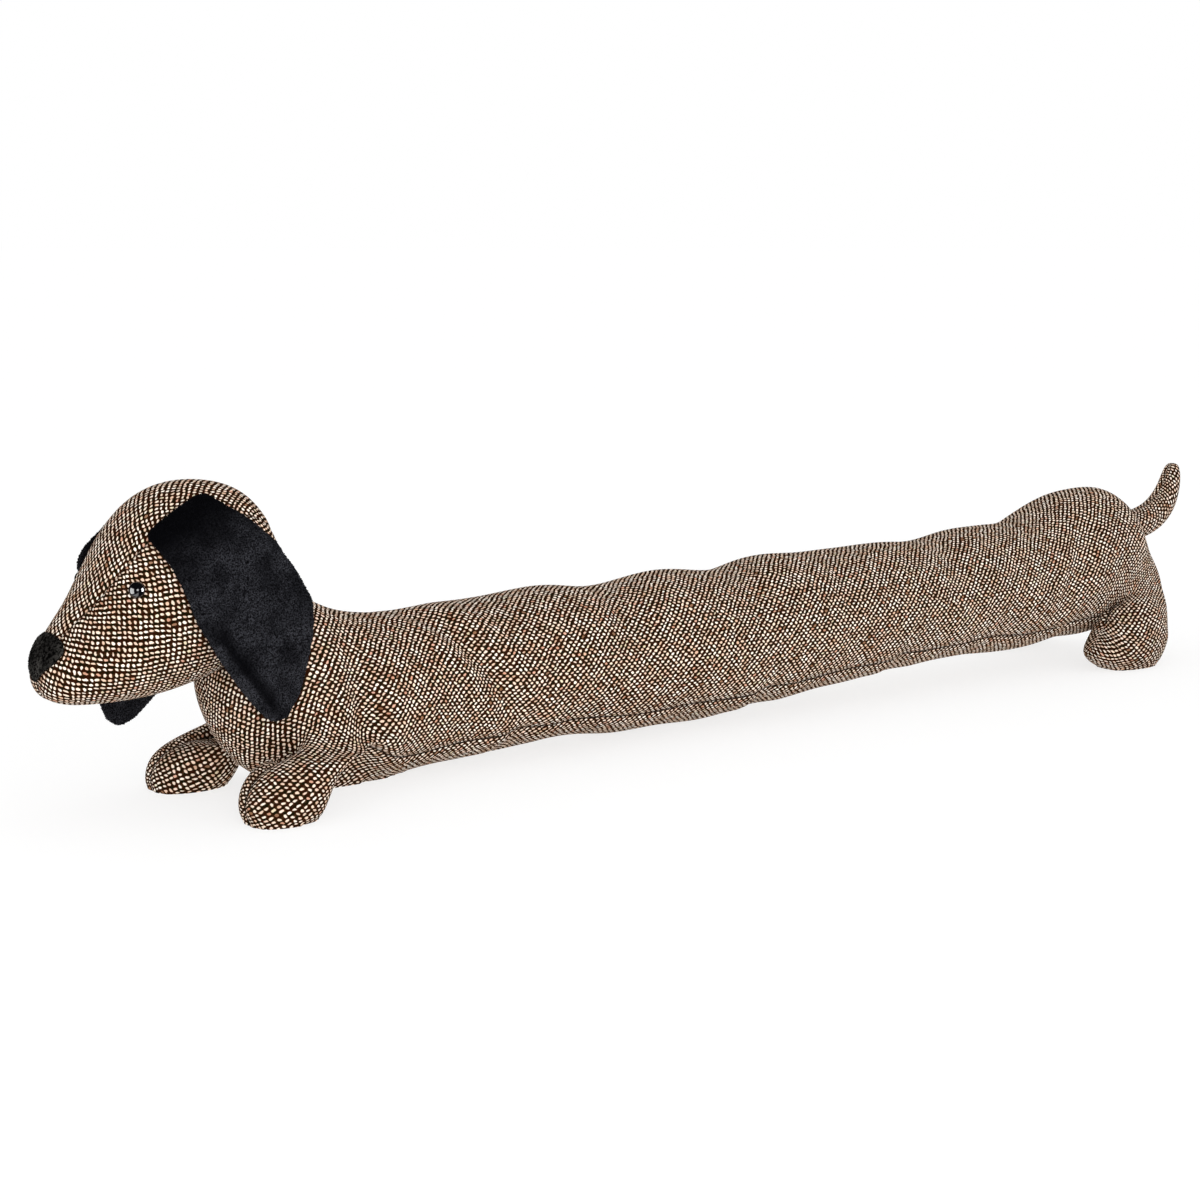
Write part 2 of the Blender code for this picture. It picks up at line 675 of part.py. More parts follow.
def build():
    clear_scene()
    trunk = make_trunk()
    head = make_head()
    tail = make_tail()
    seat(trunk, head)
    seat(tail, trunk)
    trees = surface_of(trunk, head)
    for ear in EARS:
        make_ear(ear, trees)
    make_nose(head)
    for eye in EYES:
        make_eye(eye, head)
    centre_on_floor()


build()
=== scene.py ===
# %% [markdown]
# # A stuffed dachshund that keeps the draught out
# A door cushion in the shape of a long dachshund, sewn from chunky tweed and filled.
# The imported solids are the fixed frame. Each soft piece is rebuilt finer in the same
# space, from the same sections, and then gets its cloth, seams and pile.

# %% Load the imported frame
import math
from collections import namedtuple
from contextlib import contextmanager

import bmesh
import bpy
from mathutils import Matrix, Vector, noise
from mathutils.bvhtree import BVHTree
from mathutils.kdtree import KDTree


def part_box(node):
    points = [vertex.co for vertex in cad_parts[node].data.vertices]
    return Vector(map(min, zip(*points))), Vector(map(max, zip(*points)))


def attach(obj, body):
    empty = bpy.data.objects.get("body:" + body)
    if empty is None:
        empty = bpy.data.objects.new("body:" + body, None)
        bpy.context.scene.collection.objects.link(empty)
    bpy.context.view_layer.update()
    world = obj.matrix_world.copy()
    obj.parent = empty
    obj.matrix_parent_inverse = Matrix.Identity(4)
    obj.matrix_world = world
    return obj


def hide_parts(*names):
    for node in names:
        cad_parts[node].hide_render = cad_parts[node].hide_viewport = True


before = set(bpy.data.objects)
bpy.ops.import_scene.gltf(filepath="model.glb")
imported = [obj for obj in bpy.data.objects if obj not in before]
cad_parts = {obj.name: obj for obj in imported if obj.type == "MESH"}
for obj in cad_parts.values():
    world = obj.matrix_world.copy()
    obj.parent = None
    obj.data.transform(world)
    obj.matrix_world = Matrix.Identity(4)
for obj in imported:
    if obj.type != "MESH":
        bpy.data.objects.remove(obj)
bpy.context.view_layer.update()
BODY = "root"

# %% [markdown]
# ## The camera
# The photograph was taken from the dog's front left, a little above it. The camera goes in
# first, so that every later step can be set against the photograph. Its place comes from
# the lines of the trunk and from the paws, which stand on one floor.

# %% Camera
LENS = 66.0  # mm on a sensor 36 mm wide
TURN = 36.76  # degrees from +Y towards +X
TIP = 9.4  # degrees below the horizon
STAND = (-0.88226, -1.06325, 0.30386)
camera_data = bpy.data.cameras.new("camera")
camera_data.lens = LENS
camera_data.sensor_width = 36.0
camera_data.clip_start, camera_data.clip_end = 0.05, 50.0
camera = bpy.data.objects.new("camera", camera_data)
camera.location = STAND
camera.rotation_euler = (math.radians(90 - TIP), 0.0, -math.radians(TURN))
bpy.context.scene.collection.objects.link(camera)
bpy.context.scene.camera = camera
print("camera at", [round(value, 3) for value in camera.location])

# %% [markdown]
# ## Small helpers for meshes
# A piece starts as a coarse cage. A Subdivision Surface modifier rounds it, and
# `settled` turns the result into plain geometry, so that no modifier is left live.

# %% Mesh helpers
LEFT, RIGHT = -1, 1  # the dog's left side is -Y


def add_object(name, data):
    """Put a mesh or a light into the scene."""
    made = bpy.data.objects.new(name, data)
    bpy.context.scene.collection.objects.link(made)
    return made


def tell(*pieces):
    """Print how many faces each piece has."""
    for piece in pieces:
        print(piece.name, len(piece.data.polygons), "faces")


def mesh_from(bm, name):
    """Turn a bmesh into a smooth mesh whose faces point outwards."""
    bmesh.ops.recalc_face_normals(bm, faces=bm.faces)
    mesh = bpy.data.meshes.new(name)
    bm.to_mesh(mesh)
    bm.free()
    mesh.shade_smooth()
    return mesh


@contextmanager
def opened(piece):
    """A piece's mesh as a bmesh, which is written back at the end."""
    bm = bmesh.new()
    bm.from_mesh(piece.data)
    bm.faces.ensure_lookup_table()
    yield bm
    bm.to_mesh(piece.data)
    bm.free()


def clamped(share):
    """A share kept between 0 and 1."""
    return min(max(share, 0.0), 1.0)


def metres(row):
    """A row of millimetres in metres."""
    return [round(value / 1000, 7) for value in row]


def level(line, z):
    """The first number of a falling line of pairs, at the place of the second ones."""
    for (value, high), (next_value, low) in zip(line, line[1:]):
        if z >= low:
            return value + (next_value - value) * clamped((high - z) / (high - low))
    return line[-1][0]


def settled(piece):
    """Bake a piece's modifiers into a plain mesh and remove them."""
    evaluated = piece.evaluated_get(bpy.context.evaluated_depsgraph_get())
    result = bpy.data.meshes.new_from_object(evaluated)
    piece.modifiers.clear()
    piece.data = result
    return piece


def rounded(piece, levels):
    """Catmull-Clark subdivision, as plain geometry."""
    smooth = piece.modifiers.new("Subdivision", "SUBSURF")
    smooth.levels = levels
    smooth.render_levels = levels
    return settled(piece)


# %% [markdown]
# ## The trunk's sections
# The real trunk is a long tube of cloth, filled unevenly, so its height goes up and down
# every few centimetres. A table of sections, in millimetres, holds that rhythm. Each is a
# ring of sixteen points, and the belly panel is sewn to the side along row two.

# %% Trunk sections
Section = namedtuple("Section", "x low high half_width")
CHEST_TIP = (-0.3565, 0.066)
TRUNK = [Section(*metres(row)) for row in (
    (-354.5, 48, 84, 18),
    (-348, 30, 100, 32),
    (-336, 12, 112, 43),
    (-317, 2, 117, 49),
    (-297, -6, 109, 51),
    (-277, -8, 97.5, 50.5),
    (-258, -5, 94.5, 49),
    (-232, 0, 93, 47.5),
    (-205, 1, 96.5, 48),
    (-177, 1, 94.5, 47.2),
    (-148, 3.5, 98, 48.2),
    (-119, 4, 98.8, 48),
    (-90, 0, 92.2, 47.2),
    (-58, 1, 99, 48.5),
    (-27, -1, 100.8, 48.8),
    (4, 2.5, 92.5, 47.5),
    (38, 4.2, 103.5, 48.8),
    (72, 7.5, 100.5, 47.8),
    (109, 8, 100.7, 47),
    (146, 13, 101.5, 46.2),
    (182, 13, 98, 45.5),
    (220, 16, 105, 46.2),
    (250, 11.8, 105.6, 46.6),
    (278, 13.8, 103.5, 48),
    (304, 16.5, 115.5, 50),
    (327, 15, 124, 51.5),
    (349, 16, 125.5, 51),
    (369, 21, 125.2, 48),
    (385, 25, 92, 41.2),
    (396.5, 31, 74, 35.8),
    (404, 41, 62.5, 24),
)]
RUMP_TIP = (0.4055, 0.052)
TRUNK_MID = 0.5  # height of the widest line, as a share of the section
ROW_ANGLES = (0, 25, 50, 72, 94, 115, 137, 158, 180)
BACK_ROW = len(ROW_ANGLES) - 1
RING_SIZE = 2 * BACK_ROW
SEAM_ROW = 2


def row_angle(row, angles=ROW_ANGLES):
    """Angle of a ring's row from the belly line, the left side negative."""
    if row <= BACK_ROW:
        return -math.radians(angles[row])
    return math.radians(angles[2 * BACK_ROW - row])


def section_ring(bm, section, mid, angles=ROW_ANGLES):
    """The corner points of one section, from the belly line round the left."""
    middle = section.low + (section.high - section.low) * mid
    ring = []
    for row in range(RING_SIZE):
        angle = row_angle(row, angles)
        rise = -math.cos(angle)
        reach = section.high - middle if rise > 0 else middle - section.low
        point = (section.x, section.half_width * math.sin(angle), middle + reach * rise)
        ring.append(bm.verts.new(point))
    return ring


def skin_between(bm, first, second, rows=None):
    """Quads between two rings that have the same number of points."""
    count = len(first)
    for row in rows if rows is not None else range(count):
        after = (row + 1) % count
        bm.faces.new((first[row], first[after], second[after], second[row]))


def close_end(bm, ring, tip):
    """Close a ring with a fan of triangles to a tip on the middle plane."""
    apex = bm.verts.new((tip[0], 0.0, tip[1]))
    for row, vert in enumerate(ring):
        bm.faces.new((vert, ring[(row + 1) % len(ring)], apex))
    return apex


def mark_seam(bm, first, second):
    """Mark the edge between two points as a seam, where there is one."""
    edge = bm.edges.get((first, second))
    if edge:
        edge.seam = True


def mark_rows(bm, rings, rows):
    """Mark seams that run along some rows of a run of rings."""
    for first, second in zip(rings, rings[1:]):
        for row in rows:
            mark_seam(bm, first[row], second[row])


print(len(TRUNK), "trunk sections of", RING_SIZE, "points")

# %% [markdown]
# ## Legs that grow out of the trunk
# The side panel runs down into the outside of each leg, and the belly panel into its
# inside, so one seam goes down the back of a leg, under the sole and up its front. The
# cage leaves out six faces for each leg and grows a stack of ovals from that hole.

# %% Leg ovals
PATCH_LENGTH = 3  # sections that a leg's root spans
LegRing = namedtuple("LegRing", "x y z half_length half_width heel")
Leg = namedtuple("Leg", "side first_section rings")
LEGS = [Leg(side, first, [LegRing(*metres(row)) for row in rows]) for side, first, rows in (
    (LEFT, 3, (
        (-320, 56, 33, 27, 21, 0),
        (-336.5, 59.5, 23.5, 28.5, 24, 2),
        (-343, 61, 11, 27.5, 24.5, 5),
        (-344, 61, -2, 22.5, 21.5, 1))),
    (RIGHT, 3, (
        (-322, 33, 30, 27, 20.5, 0),
        (-341, 35.5, 21.5, 30, 23.5, 1),
        (-346.5, 37, 10.5, 30, 24.5, 2),
        (-351, 36.5, -2, 25, 22.5, 0))),
    (LEFT, 26, (
        (355.3, 44, 48, 29.5, 24, 6),
        (353, 47.5, 24, 35, 24.5, 13),
        (340, 49, 12, 47.5, 22.5, 4),
        (349, 47.5, -2, 24, 19, 0))),
    (RIGHT, 26, (
        (358, 49, 46, 31, 23.5, 4),
        (352, 60, 24, 39, 22.5, 10),
        (348, 66, 11, 39, 20.5, 2),
        (352, 66.5, -2, 27.5, 16, 0))),
)]


def leg_row(side, step):
    """The ring's row that lies step rows above the seam on one side."""
    row = SEAM_ROW + step
    return row if side == LEFT else (RING_SIZE - row) % RING_SIZE


def patch_faces(leg):
    """(section, row) of the trunk's faces that a leg's root takes out."""
    rows = [min(leg_row(leg.side, step), leg_row(leg.side, step + 1)) for step in (-1, 0)]
    spans = range(leg.first_section, leg.first_section + PATCH_LENGTH)
    return {(span, row) for span in spans for row in rows}


def patch_border(leg, rings):
    """The root's border points: front, outer side, back, inner side."""
    first = leg.first_section
    last = first + PATCH_LENGTH
    inner, seam, outer = (leg_row(leg.side, step) for step in (-1, 0, 1))
    border = [rings[first][seam]]
    border += [rings[span][outer] for span in range(first, last + 1)]
    border.append(rings[last][seam])
    border += [rings[span][inner] for span in range(last, first - 1, -1)]
    return border


def leg_ring(bm, leg, ring, count):
    """An oval of points round the leg, in the order of the root's border."""
    points = []
    for index in range(count):
        turn = math.tau * index / count
        along = ring.x - ring.half_length * math.cos(turn)
        across = ring.y + ring.half_width * math.sin(turn)
        height = ring.z + ring.heel * (1 - math.cos(turn)) / 2
        points.append(bm.verts.new((along, leg.side * across, height)))
    return points


def add_leg(bm, leg, rings):
    """Grow a leg out of the trunk's cage, with its seam front, back and below."""
    border = patch_border(leg, rings)
    front, back = 0, PATCH_LENGTH + 2
    for ring in leg.rings:
        lower = leg_ring(bm, leg, ring, len(border))
        skin_between(bm, border, lower)
        for side in (front, back):
            mark_seam(bm, border[side], lower[side])
        border = lower
    sole = leg.rings[-1]
    spine = [border[front]]
    for step in range(1, PATCH_LENGTH):
        along = sole.x + sole.half_length * (2 * step / PATCH_LENGTH - 1)
        spine.append(bm.verts.new((along, leg.side * sole.y, sole.z)))
    spine.append(border[back])
    outer = border[1:PATCH_LENGTH + 2]
    inner = [border[-1 - step] for step in range(PATCH_LENGTH + 1)]
    for edge in (outer, inner):
        for step in range(PATCH_LENGTH):
            bm.faces.new((edge[step], edge[step + 1], spine[step + 1], spine[step]))
    for first, second in zip(spine, spine[1:]):
        mark_seam(bm, first, second)


# %% [markdown]
# The cage gets its seams as marked edges. The belly panel ends between the front legs,
# and in front of it the side panels meet on the chest's middle line. Two short hidden
# seams, under the head and below the tail, let the cloth lie flat with little stretch.

# %% Trunk cage
BELLY_START = 3  # the section between the front legs where the belly panel ends
HIDDEN_FRONT = 5  # sections that the seam under the head covers
HIDDEN_BACK = 4  # and the one below the tail


def trunk_cage():
    """The coarse mesh of the trunk and its legs, with its seams marked."""
    bm = bmesh.new()
    rings = [section_ring(bm, section, TRUNK_MID) for section in TRUNK]
    taken = set().union(*(patch_faces(leg) for leg in LEGS))
    for span in range(len(rings) - 1):
        rows = [row for row in range(RING_SIZE) if (span, row) not in taken]
        skin_between(bm, rings[span], rings[span + 1], rows)
    chest = close_end(bm, rings[0], CHEST_TIP)
    rump = close_end(bm, rings[-1], RUMP_TIP)
    for leg in LEGS:
        add_leg(bm, leg, rings)
    belly_rows = (SEAM_ROW, RING_SIZE - SEAM_ROW)
    mark_rows(bm, rings[BELLY_START:], belly_rows)
    across = rings[BELLY_START][-SEAM_ROW:] + rings[BELLY_START][:SEAM_ROW + 1]
    for first, second in zip(across, across[1:]):
        mark_seam(bm, first, second)
    mark_rows(bm, rings[:BELLY_START + 1], (0,))
    mark_rows(bm, rings[:HIDDEN_FRONT], (BACK_ROW,))
    mark_rows(bm, rings[-HIDDEN_BACK:], (BACK_ROW,))
    for row in (0, BACK_ROW):
        mark_seam(bm, rings[0][row], chest)
    for row in (*belly_rows, BACK_ROW):
        mark_seam(bm, rings[-1][row], rump)
    return mesh_from(bm, "trunk_cage")


trunk = rounded(add_object("trunk_cloth", trunk_cage()), 2)
print("trunk:", len(trunk.data.polygons), "faces,",
      sum(edge.use_seam for edge in trunk.data.edges), "seam edges")

# %% [markdown]
# ## The head's sections
# The head is its own filled piece, sewn to the neck. Two cheeks meet under the chin, and a
# gusset runs over the brow between them. It is narrow at the nose and widens towards the
# ears, so each section has its own angle for the gusset's seam.

# %% Head cage
SNOUT_TIP = (-0.4525, 0.08)
HEAD = [Section(*metres(row)) for row in (
    (-450, 69, 89, 15),
    (-444, 65, 100.5, 23),
    (-434.5, 62.5, 112, 30),
    (-423, 61.7, 125.5, 36.5),
    (-411, 61.2, 148.5, 43.2),
    (-397, 61.2, 167.5, 45.5),
    (-381, 63, 176.5, 47.5),
    (-364, 67.5, 178.5, 47.8),
    (-348, 73, 176.5, 46.5),
    (-335, 80, 171.6, 43),
    (-325, 90, 161.2, 36),
    (-319, 105, 145, 21),
)]
SKULL_TIP = (-0.3175, 0.1245)
HEAD_MID = 0.45
GUSSET_ROW = 6
GUSSET_ANGLES = (163, 161, 158, 152, 144, 140, 138, 137, 137, 137, 137, 137)


def head_angles(gusset):
    """The rows' angles with the gusset's seam at one angle."""
    lower = ROW_ANGLES[GUSSET_ROW - 2]
    near = ((lower + gusset) / 2, gusset, (gusset + 180) / 2)
    return (*ROW_ANGLES[:GUSSET_ROW - 1], *near, 180)


def head_cage():
    """The coarse mesh of the head, with its gusset and chin seams marked."""
    bm = bmesh.new()
    rings = [section_ring(bm, section, HEAD_MID, head_angles(gusset))
             for section, gusset in zip(HEAD, GUSSET_ANGLES)]
    for first, second in zip(rings, rings[1:]):
        skin_between(bm, first, second)
    seams = (0, GUSSET_ROW, RING_SIZE - GUSSET_ROW)
    mark_rows(bm, rings, seams)
    for ring, tip in ((rings[0], SNOUT_TIP), (rings[-1], SKULL_TIP)):
        apex = close_end(bm, ring, tip)
        for row in seams:
            mark_seam(bm, ring[row], apex)
    return mesh_from(bm, "head_cage")


head = rounded(add_object("head_cloth", head_cage()), 2)
tell(head)

# %% [markdown]
# ## The tail
# A small sewn tube that leaves the rump level and curls up. Its rings stand square to the
# tube's own line, and its seam runs along the inside of the curl.

# %% Tail cage
TailRing = namedtuple("TailRing", "x z radius")
TAIL = [TailRing(*metres(row)) for row in (
    (374, 89, 11),
    (390, 90.3, 12.2),
    (406, 91.8, 12.7),
    (423, 95.5, 12.7),
    (436.2, 104.2, 11.7),
    (444.6, 117.2, 9.4),
    (447.4, 132.2, 7.2),
)]
TAIL_SIDES = 8
TAIL_SEAM = 4  # the side of a ring that faces the inside of the curl


def tail_cage():
    """The coarse mesh of the tail."""
    bm = bmesh.new()
    rings = []
    for index, here in enumerate(TAIL):
        before = TAIL[max(index - 1, 0)]
        after = TAIL[min(index + 1, len(TAIL) - 1)]
        heading = Vector((after.x - before.x, 0.0, after.z - before.z)).normalized()
        outward = Vector((heading.z, 0.0, -heading.x))
        centre = Vector((here.x, 0.0, here.z))
        ring = []
        for side in range(TAIL_SIDES):
            turn = math.tau * side / TAIL_SIDES
            offset = outward * math.cos(turn) + Vector((0.0, math.sin(turn), 0.0))
            ring.append(bm.verts.new(centre + offset * here.radius))
        rings.append(ring)
    for first, second in zip(rings, rings[1:]):
        skin_between(bm, first, second)
        mark_seam(bm, first[TAIL_SEAM], second[TAIL_SEAM])
    bm.faces.new(rings[0])
    for side in range(TAIL_SIDES):
        mark_seam(bm, rings[0][side], rings[0][(side + 1) % TAIL_SIDES])
    tip = centre + heading * here.radius
    apex = close_end(bm, rings[-1], (tip.x, tip.z))
    mark_seam(bm, rings[-1][TAIL_SEAM], apex)
    return mesh_from(bm, "tail_cage")


tail = rounded(add_object("tail_cloth", tail_cage()), 2)
tell(tail)

# %% [markdown]
# ## Laying the cloth flat
# A maker cuts flat panels, so the weave runs straight and only bends where a panel is
# stretched over the filling. Blender's unwrap does the reverse: it opens the cloth along
# its seams and lays it flat. Each flat panel is then scaled to real metres and turned, so
# that its threads lie as they do on the dog. The cheeks are cut on the bias.

# %% Cloth coordinates
CLOTH_MAP = "cloth"
CHEEK_GRAIN = 58.0  # degrees, on the bias
GUSSET_GRAIN = -10.0
GUSSET_REACH = 0.008  # the gusset's centre lies this near to the middle plane
PANEL_STEP = (0.613, 0.271)  # metres that lie between the panels on the flat


def lay_flat(piece):
    """Unwrap a piece along its seams."""
    mesh = piece.data
    mesh.uv_layers.new(name=CLOTH_MAP)
    bpy.ops.object.select_all(action="DESELECT")
    bpy.context.view_layer.objects.active = piece
    piece.select_set(True)
    bpy.ops.object.mode_set(mode="EDIT")
    bpy.ops.mesh.select_all(action="SELECT")
    bpy.ops.uv.unwrap(method="MINIMUM_STRETCH", iterations=30, margin=0.002)
    bpy.ops.object.mode_set(mode="OBJECT")


def panels(bm):
    """The faces of each panel: those that no seam parts."""
    left, found = set(bm.faces), []
    while left:
        panel = [min(left, key=lambda face: face.index)]
        left.discard(panel[0])
        for face in panel:
            for edge in face.edges:
                joined = () if edge.seam else [other for other in edge.link_faces if other in left]
                left.difference_update(joined)
                panel += joined
        found.append(panel)
    return found


def flat_area(face, layer):
    """Area of a face on the flat panel."""
    spots = [loop[layer].uv for loop in face.loops]
    turned = spots[1:] + spots[:1]
    return abs(sum(spot.cross(after) for spot, after in zip(spots, turned))) / 2


def grain_angle(piece, centre):
    """How far the threads of the panel round a centre turn from the piece's length."""
    if piece != head:
        return 0.0
    return GUSSET_GRAIN if abs(centre.y) < GUSSET_REACH else CHEEK_GRAIN


def set_grain(piece):
    """Scale each panel to metres and turn it so that its threads lie at an angle."""
    with opened(piece) as bm:
        layer = bm.loops.layers.uv[CLOTH_MAP]
        for number, panel in enumerate(panels(bm)):
            centre = sum((face.calc_center_median() for face in panel), Vector()) / len(panel)
            real = sum(face.calc_area() for face in panel)
            scale = math.sqrt(real / sum(flat_area(face, layer) for face in panel))
            loops = [loop for face in panel for loop in face.loops]
            middle = sum((loop[layer].uv for loop in loops), Vector((0.0, 0.0))) / len(loops)
            tilt = Vector((0.0, 0.0))
            for loop in loops:
                tilt += (loop[layer].uv - middle) * (loop.vert.co.x - centre.x)
            turn = math.radians(grain_angle(piece, centre)) - math.atan2(tilt.y, tilt.x)
            spin = Matrix.Rotation(turn, 2)
            for loop in loops:
                loop[layer].uv = (spin @ (loop[layer].uv - middle) * scale
                                  + Vector(PANEL_STEP) * number)


for piece in (trunk, head, tail):
    lay_flat(piece)
    set_grain(piece)
    print(piece.name, "laid flat")

# %% [markdown]
# Where a panel is dragged round by the legs that it was sewn to, its threads lie at another
# angle. The flat panel is turned about one point: at the shoulder by an angle that fades
# out along the trunk, and on three paws by one that fades out along the cloth.

# %% Twists in the cloth
SHOULDER = (-0.28, 0.0, 0.0985)
SHOULDER_TURN = -11.0  # degrees
TURN_ENDS = (-0.27, -0.17)  # x where the shoulder's turn starts to fade and where it is gone
PAW_TURNS = (((-0.343, -0.082, 0.018), 13.0), ((-0.356, 0.02, 0.018), 26.0),
             ((0.345, -0.07, 0.022), -48.0))
PAW_REACH = 0.075


def along_trunk(loop, away):
    """The share of the shoulder's turn that a corner of a face takes."""
    return (TURN_ENDS[1] - loop.vert.co.x) / (TURN_ENDS[1] - TURN_ENDS[0])


def along_cloth(loop, away):
    """The share of a paw's turn that a corner of a face takes."""
    return 1 - away.length / PAW_REACH


def turn_grain(piece, spot, degrees, share_of):
    """Turn the threads of the nearest panel about one spot."""
    with opened(piece) as bm:
        layer = bm.loops.layers.uv[CLOTH_MAP]
        corners = [(loop, number) for number, panel in enumerate(panels(bm))
                   for face in panel for loop in face.loops]
        nearest, own = min(corners, key=lambda pair: (pair[0].vert.co - spot).length)
        pivot = nearest[layer].uv.copy()
        for loop, number in corners:
            if number == own:
                away = loop[layer].uv - pivot
                share = clamped(share_of(loop, away))
                turn = math.radians(degrees) * share * share * (3 - 2 * share)
                loop[layer].uv = Matrix.Rotation(turn, 2) @ away + pivot


turn_grain(trunk, Vector(SHOULDER), SHOULDER_TURN, along_trunk)
for spot, degrees in PAW_TURNS:
    turn_grain(trunk, Vector(spot), degrees, along_cloth)
print("threads turned at the shoulder and on", len(PAW_TURNS), "paws")

# %% [markdown]
# ## Creases and lumps
# Cloth over a loose filling isn't smooth. It is pinched behind the shoulder, draws in
# between the lumps and swells a little beside each crease. The creases are a table, and
# low noise adds the give of the filling. Both move points towards the trunk's middle
# line, after the last subdivision. Before it, the roots of the hind legs are smoothed and
# the rump behind them is pushed out.

# %% Crease table
Crease = namedtuple("Crease", "side x lean low_angle high_angle depth width")
CREASES = [Crease(*row) for row in (
    (LEFT, -0.285, -0.006, 26, 150, 0.0056, 0.0085),
    (RIGHT, -0.285, -0.006, 26, 150, 0.0056, 0.0085),
    (LEFT, -0.206, -0.056, 58, 175, 0.0052, 0.008),
    (RIGHT, -0.212, -0.03, 70, 170, 0.0025, 0.008),
    (LEFT, -0.172, 0.006, 15, 75, 0.0022, 0.008),
    (RIGHT, -0.15, 0.012, 20, 110, 0.0022, 0.009),
    (LEFT, -0.096, 0.01, 100, 180, 0.0022, 0.009),
    (RIGHT, -0.07, -0.014, 40, 130, 0.002, 0.009),
    (LEFT, 0.01, 0.014, 110, 180, 0.0018, 0.009),
    (RIGHT, 0.022, 0.012, 50, 150, 0.0018, 0.009),
    (LEFT, 0.018, -0.006, 10, 70, 0.0024, 0.008),
    (LEFT, 0.082, 0.01, 110, 180, 0.0016, 0.009),
    (RIGHT, 0.102, -0.012, 40, 140, 0.0018, 0.009),
    (LEFT, 0.138, -0.006, 10, 70, 0.002, 0.008),
    (LEFT, 0.188, 0.012, 100, 180, 0.0018, 0.009),
    (RIGHT, 0.2, 0.01, 50, 150, 0.0018, 0.009),
    (LEFT, 0.295, 0.05, 60, 150, 0.0022, 0.01),
    (RIGHT, 0.295, 0.045, 60, 150, 0.0022, 0.01),
)]
CREASE_FADE = 0.7  # below 1 a crease keeps its depth nearly to its ends
CREASE_EASE = 1.5  # how much wider it is on the side towards the tail
RIM_HEIGHT = 0.3  # share of its depth that the cloth swells beside it
RIM_PLACE, RIM_WIDTH = 1.7, 0.8  # in widths of the crease
MIDDLE_LINE = [((section.low + section.high) / 2, -section.x) for section in TRUNK]


def crease_depth(x, side, angle):
    """How far the creases draw the cloth in at one place on the trunk."""
    depth = 0.0
    for crease in CREASES:
        share = (angle - crease.low_angle) / (crease.high_angle - crease.low_angle)
        if crease.side != side or not 0.0 < share < 1.0:
            continue
        window = math.sin(math.pi * share) ** CREASE_FADE
        away = (x - crease.x - crease.lean * (share - 0.5)) / crease.width
        away = away / CREASE_EASE if away > 0.0 else -away
        rim = RIM_HEIGHT * math.exp(-((away - RIM_PLACE) / RIM_WIDTH) ** 2)
        depth += crease.depth * window * (math.exp(-away ** 2) - rim)
    return depth


# %% Press the creases and the floor
LUMP_SIZE = 0.035  # how far apart the filling's soft lumps lie
LUMP_HEIGHT = 0.0011
CORE = 0.02  # this near to the middle line nothing is moved
FLOOR_SKIN = 0.0012  # what comes this near to the floor is pressed flat
THIGHS = ((0.386, -0.049, 0.056), (0.386, 0.052, 0.056))
THIGH_REACH = 0.04
THIGH_ROUNDS = 40
EASE = 0.7  # how far a round moves a point to the mean of those next to it
SWELLS = ((0.396, -0.046, 0.05), (0.396, 0.05, 0.05))
SWELL_REACH = 0.036
SWELL = (0.0062, 0.0, 0.0)


def press_creases(piece):
    """Draw the trunk's skin in along its creases and let the lumps show."""
    for vert in piece.data.vertices:
        inward = Vector((0.0, -vert.co.y, level(MIDDLE_LINE, -vert.co.x) - vert.co.z))
        angle = math.degrees(math.atan2(abs(inward.y), inward.z))
        side = LEFT if vert.co.y < 0.0 else RIGHT
        depth = crease_depth(vert.co.x, side, angle)
        depth += LUMP_HEIGHT * noise.noise(vert.co / LUMP_SIZE)
        if inward.length > CORE:
            vert.co += inward.normalized() * depth


def press_on_floor(piece):
    """Flatten what lies on the floor."""
    for vert in piece.data.vertices:
        if vert.co.z < FLOOR_SKIN:
            vert.co.z = 0.0


def ease(piece, spot):
    """Smooth a piece round one spot, as a thumb would."""
    with opened(piece) as bm:
        near = [(vert, (1 - (vert.co - spot).length / THIGH_REACH) ** 0.5) for vert in bm.verts
                if vert.link_edges and (vert.co - spot).length < THIGH_REACH]
        for _ in range(THIGH_ROUNDS):
            moved = []
            for vert, share in near:
                around = [edge.other_vert(vert).co for edge in vert.link_edges]
                mean = sum(around, Vector()) / len(around)
                moved.append(vert.co.lerp(mean, EASE * share))
            for (vert, _share), place in zip(near, moved):
                vert.co = place


def swell(piece, spot):
    """Push a piece out round one spot."""
    for vert in piece.data.vertices:
        share = max(1 - ((vert.co - spot).length / SWELL_REACH) ** 2, 0.0)
        vert.co += Vector(SWELL) * share * share


for spot in THIGHS:
    ease(trunk, Vector(spot))
for spot in SWELLS:
    swell(trunk, Vector(spot))
for piece in (trunk, head, tail):
    rounded(piece, 1)
press_creases(trunk)
press_on_floor(trunk)
tell(trunk)

# %% [markdown]
# ## Seams
# A seam pulls the cloth in along a line. Every point of a cloth piece gets its distance to
# the nearest seam as an attribute. The mesh sinks along it, and the tweed's material turns
# it into the dark line between the panels. The seams down the chest and up the front of a
# hind leg are pressed flat in the cloth, so they are left out.

# %% Seam distance and grooves
SEAM_REACH = 0.02  # nothing asks how far away a seam is beyond this
SEAM_SINK = {"trunk_cloth": 0.0014, "head_cloth": 0.0006, "tail_cloth": 0.0010}
SEAM_SPREAD = 0.003
CHEST_FROM, CHEST_LINE = -0.319, 0.005  # x in front of which, and y within which, it is flat
SHIN = (0.285, 0.35, 0.033)  # x from and to, and z below which, a leg's front seam is flat


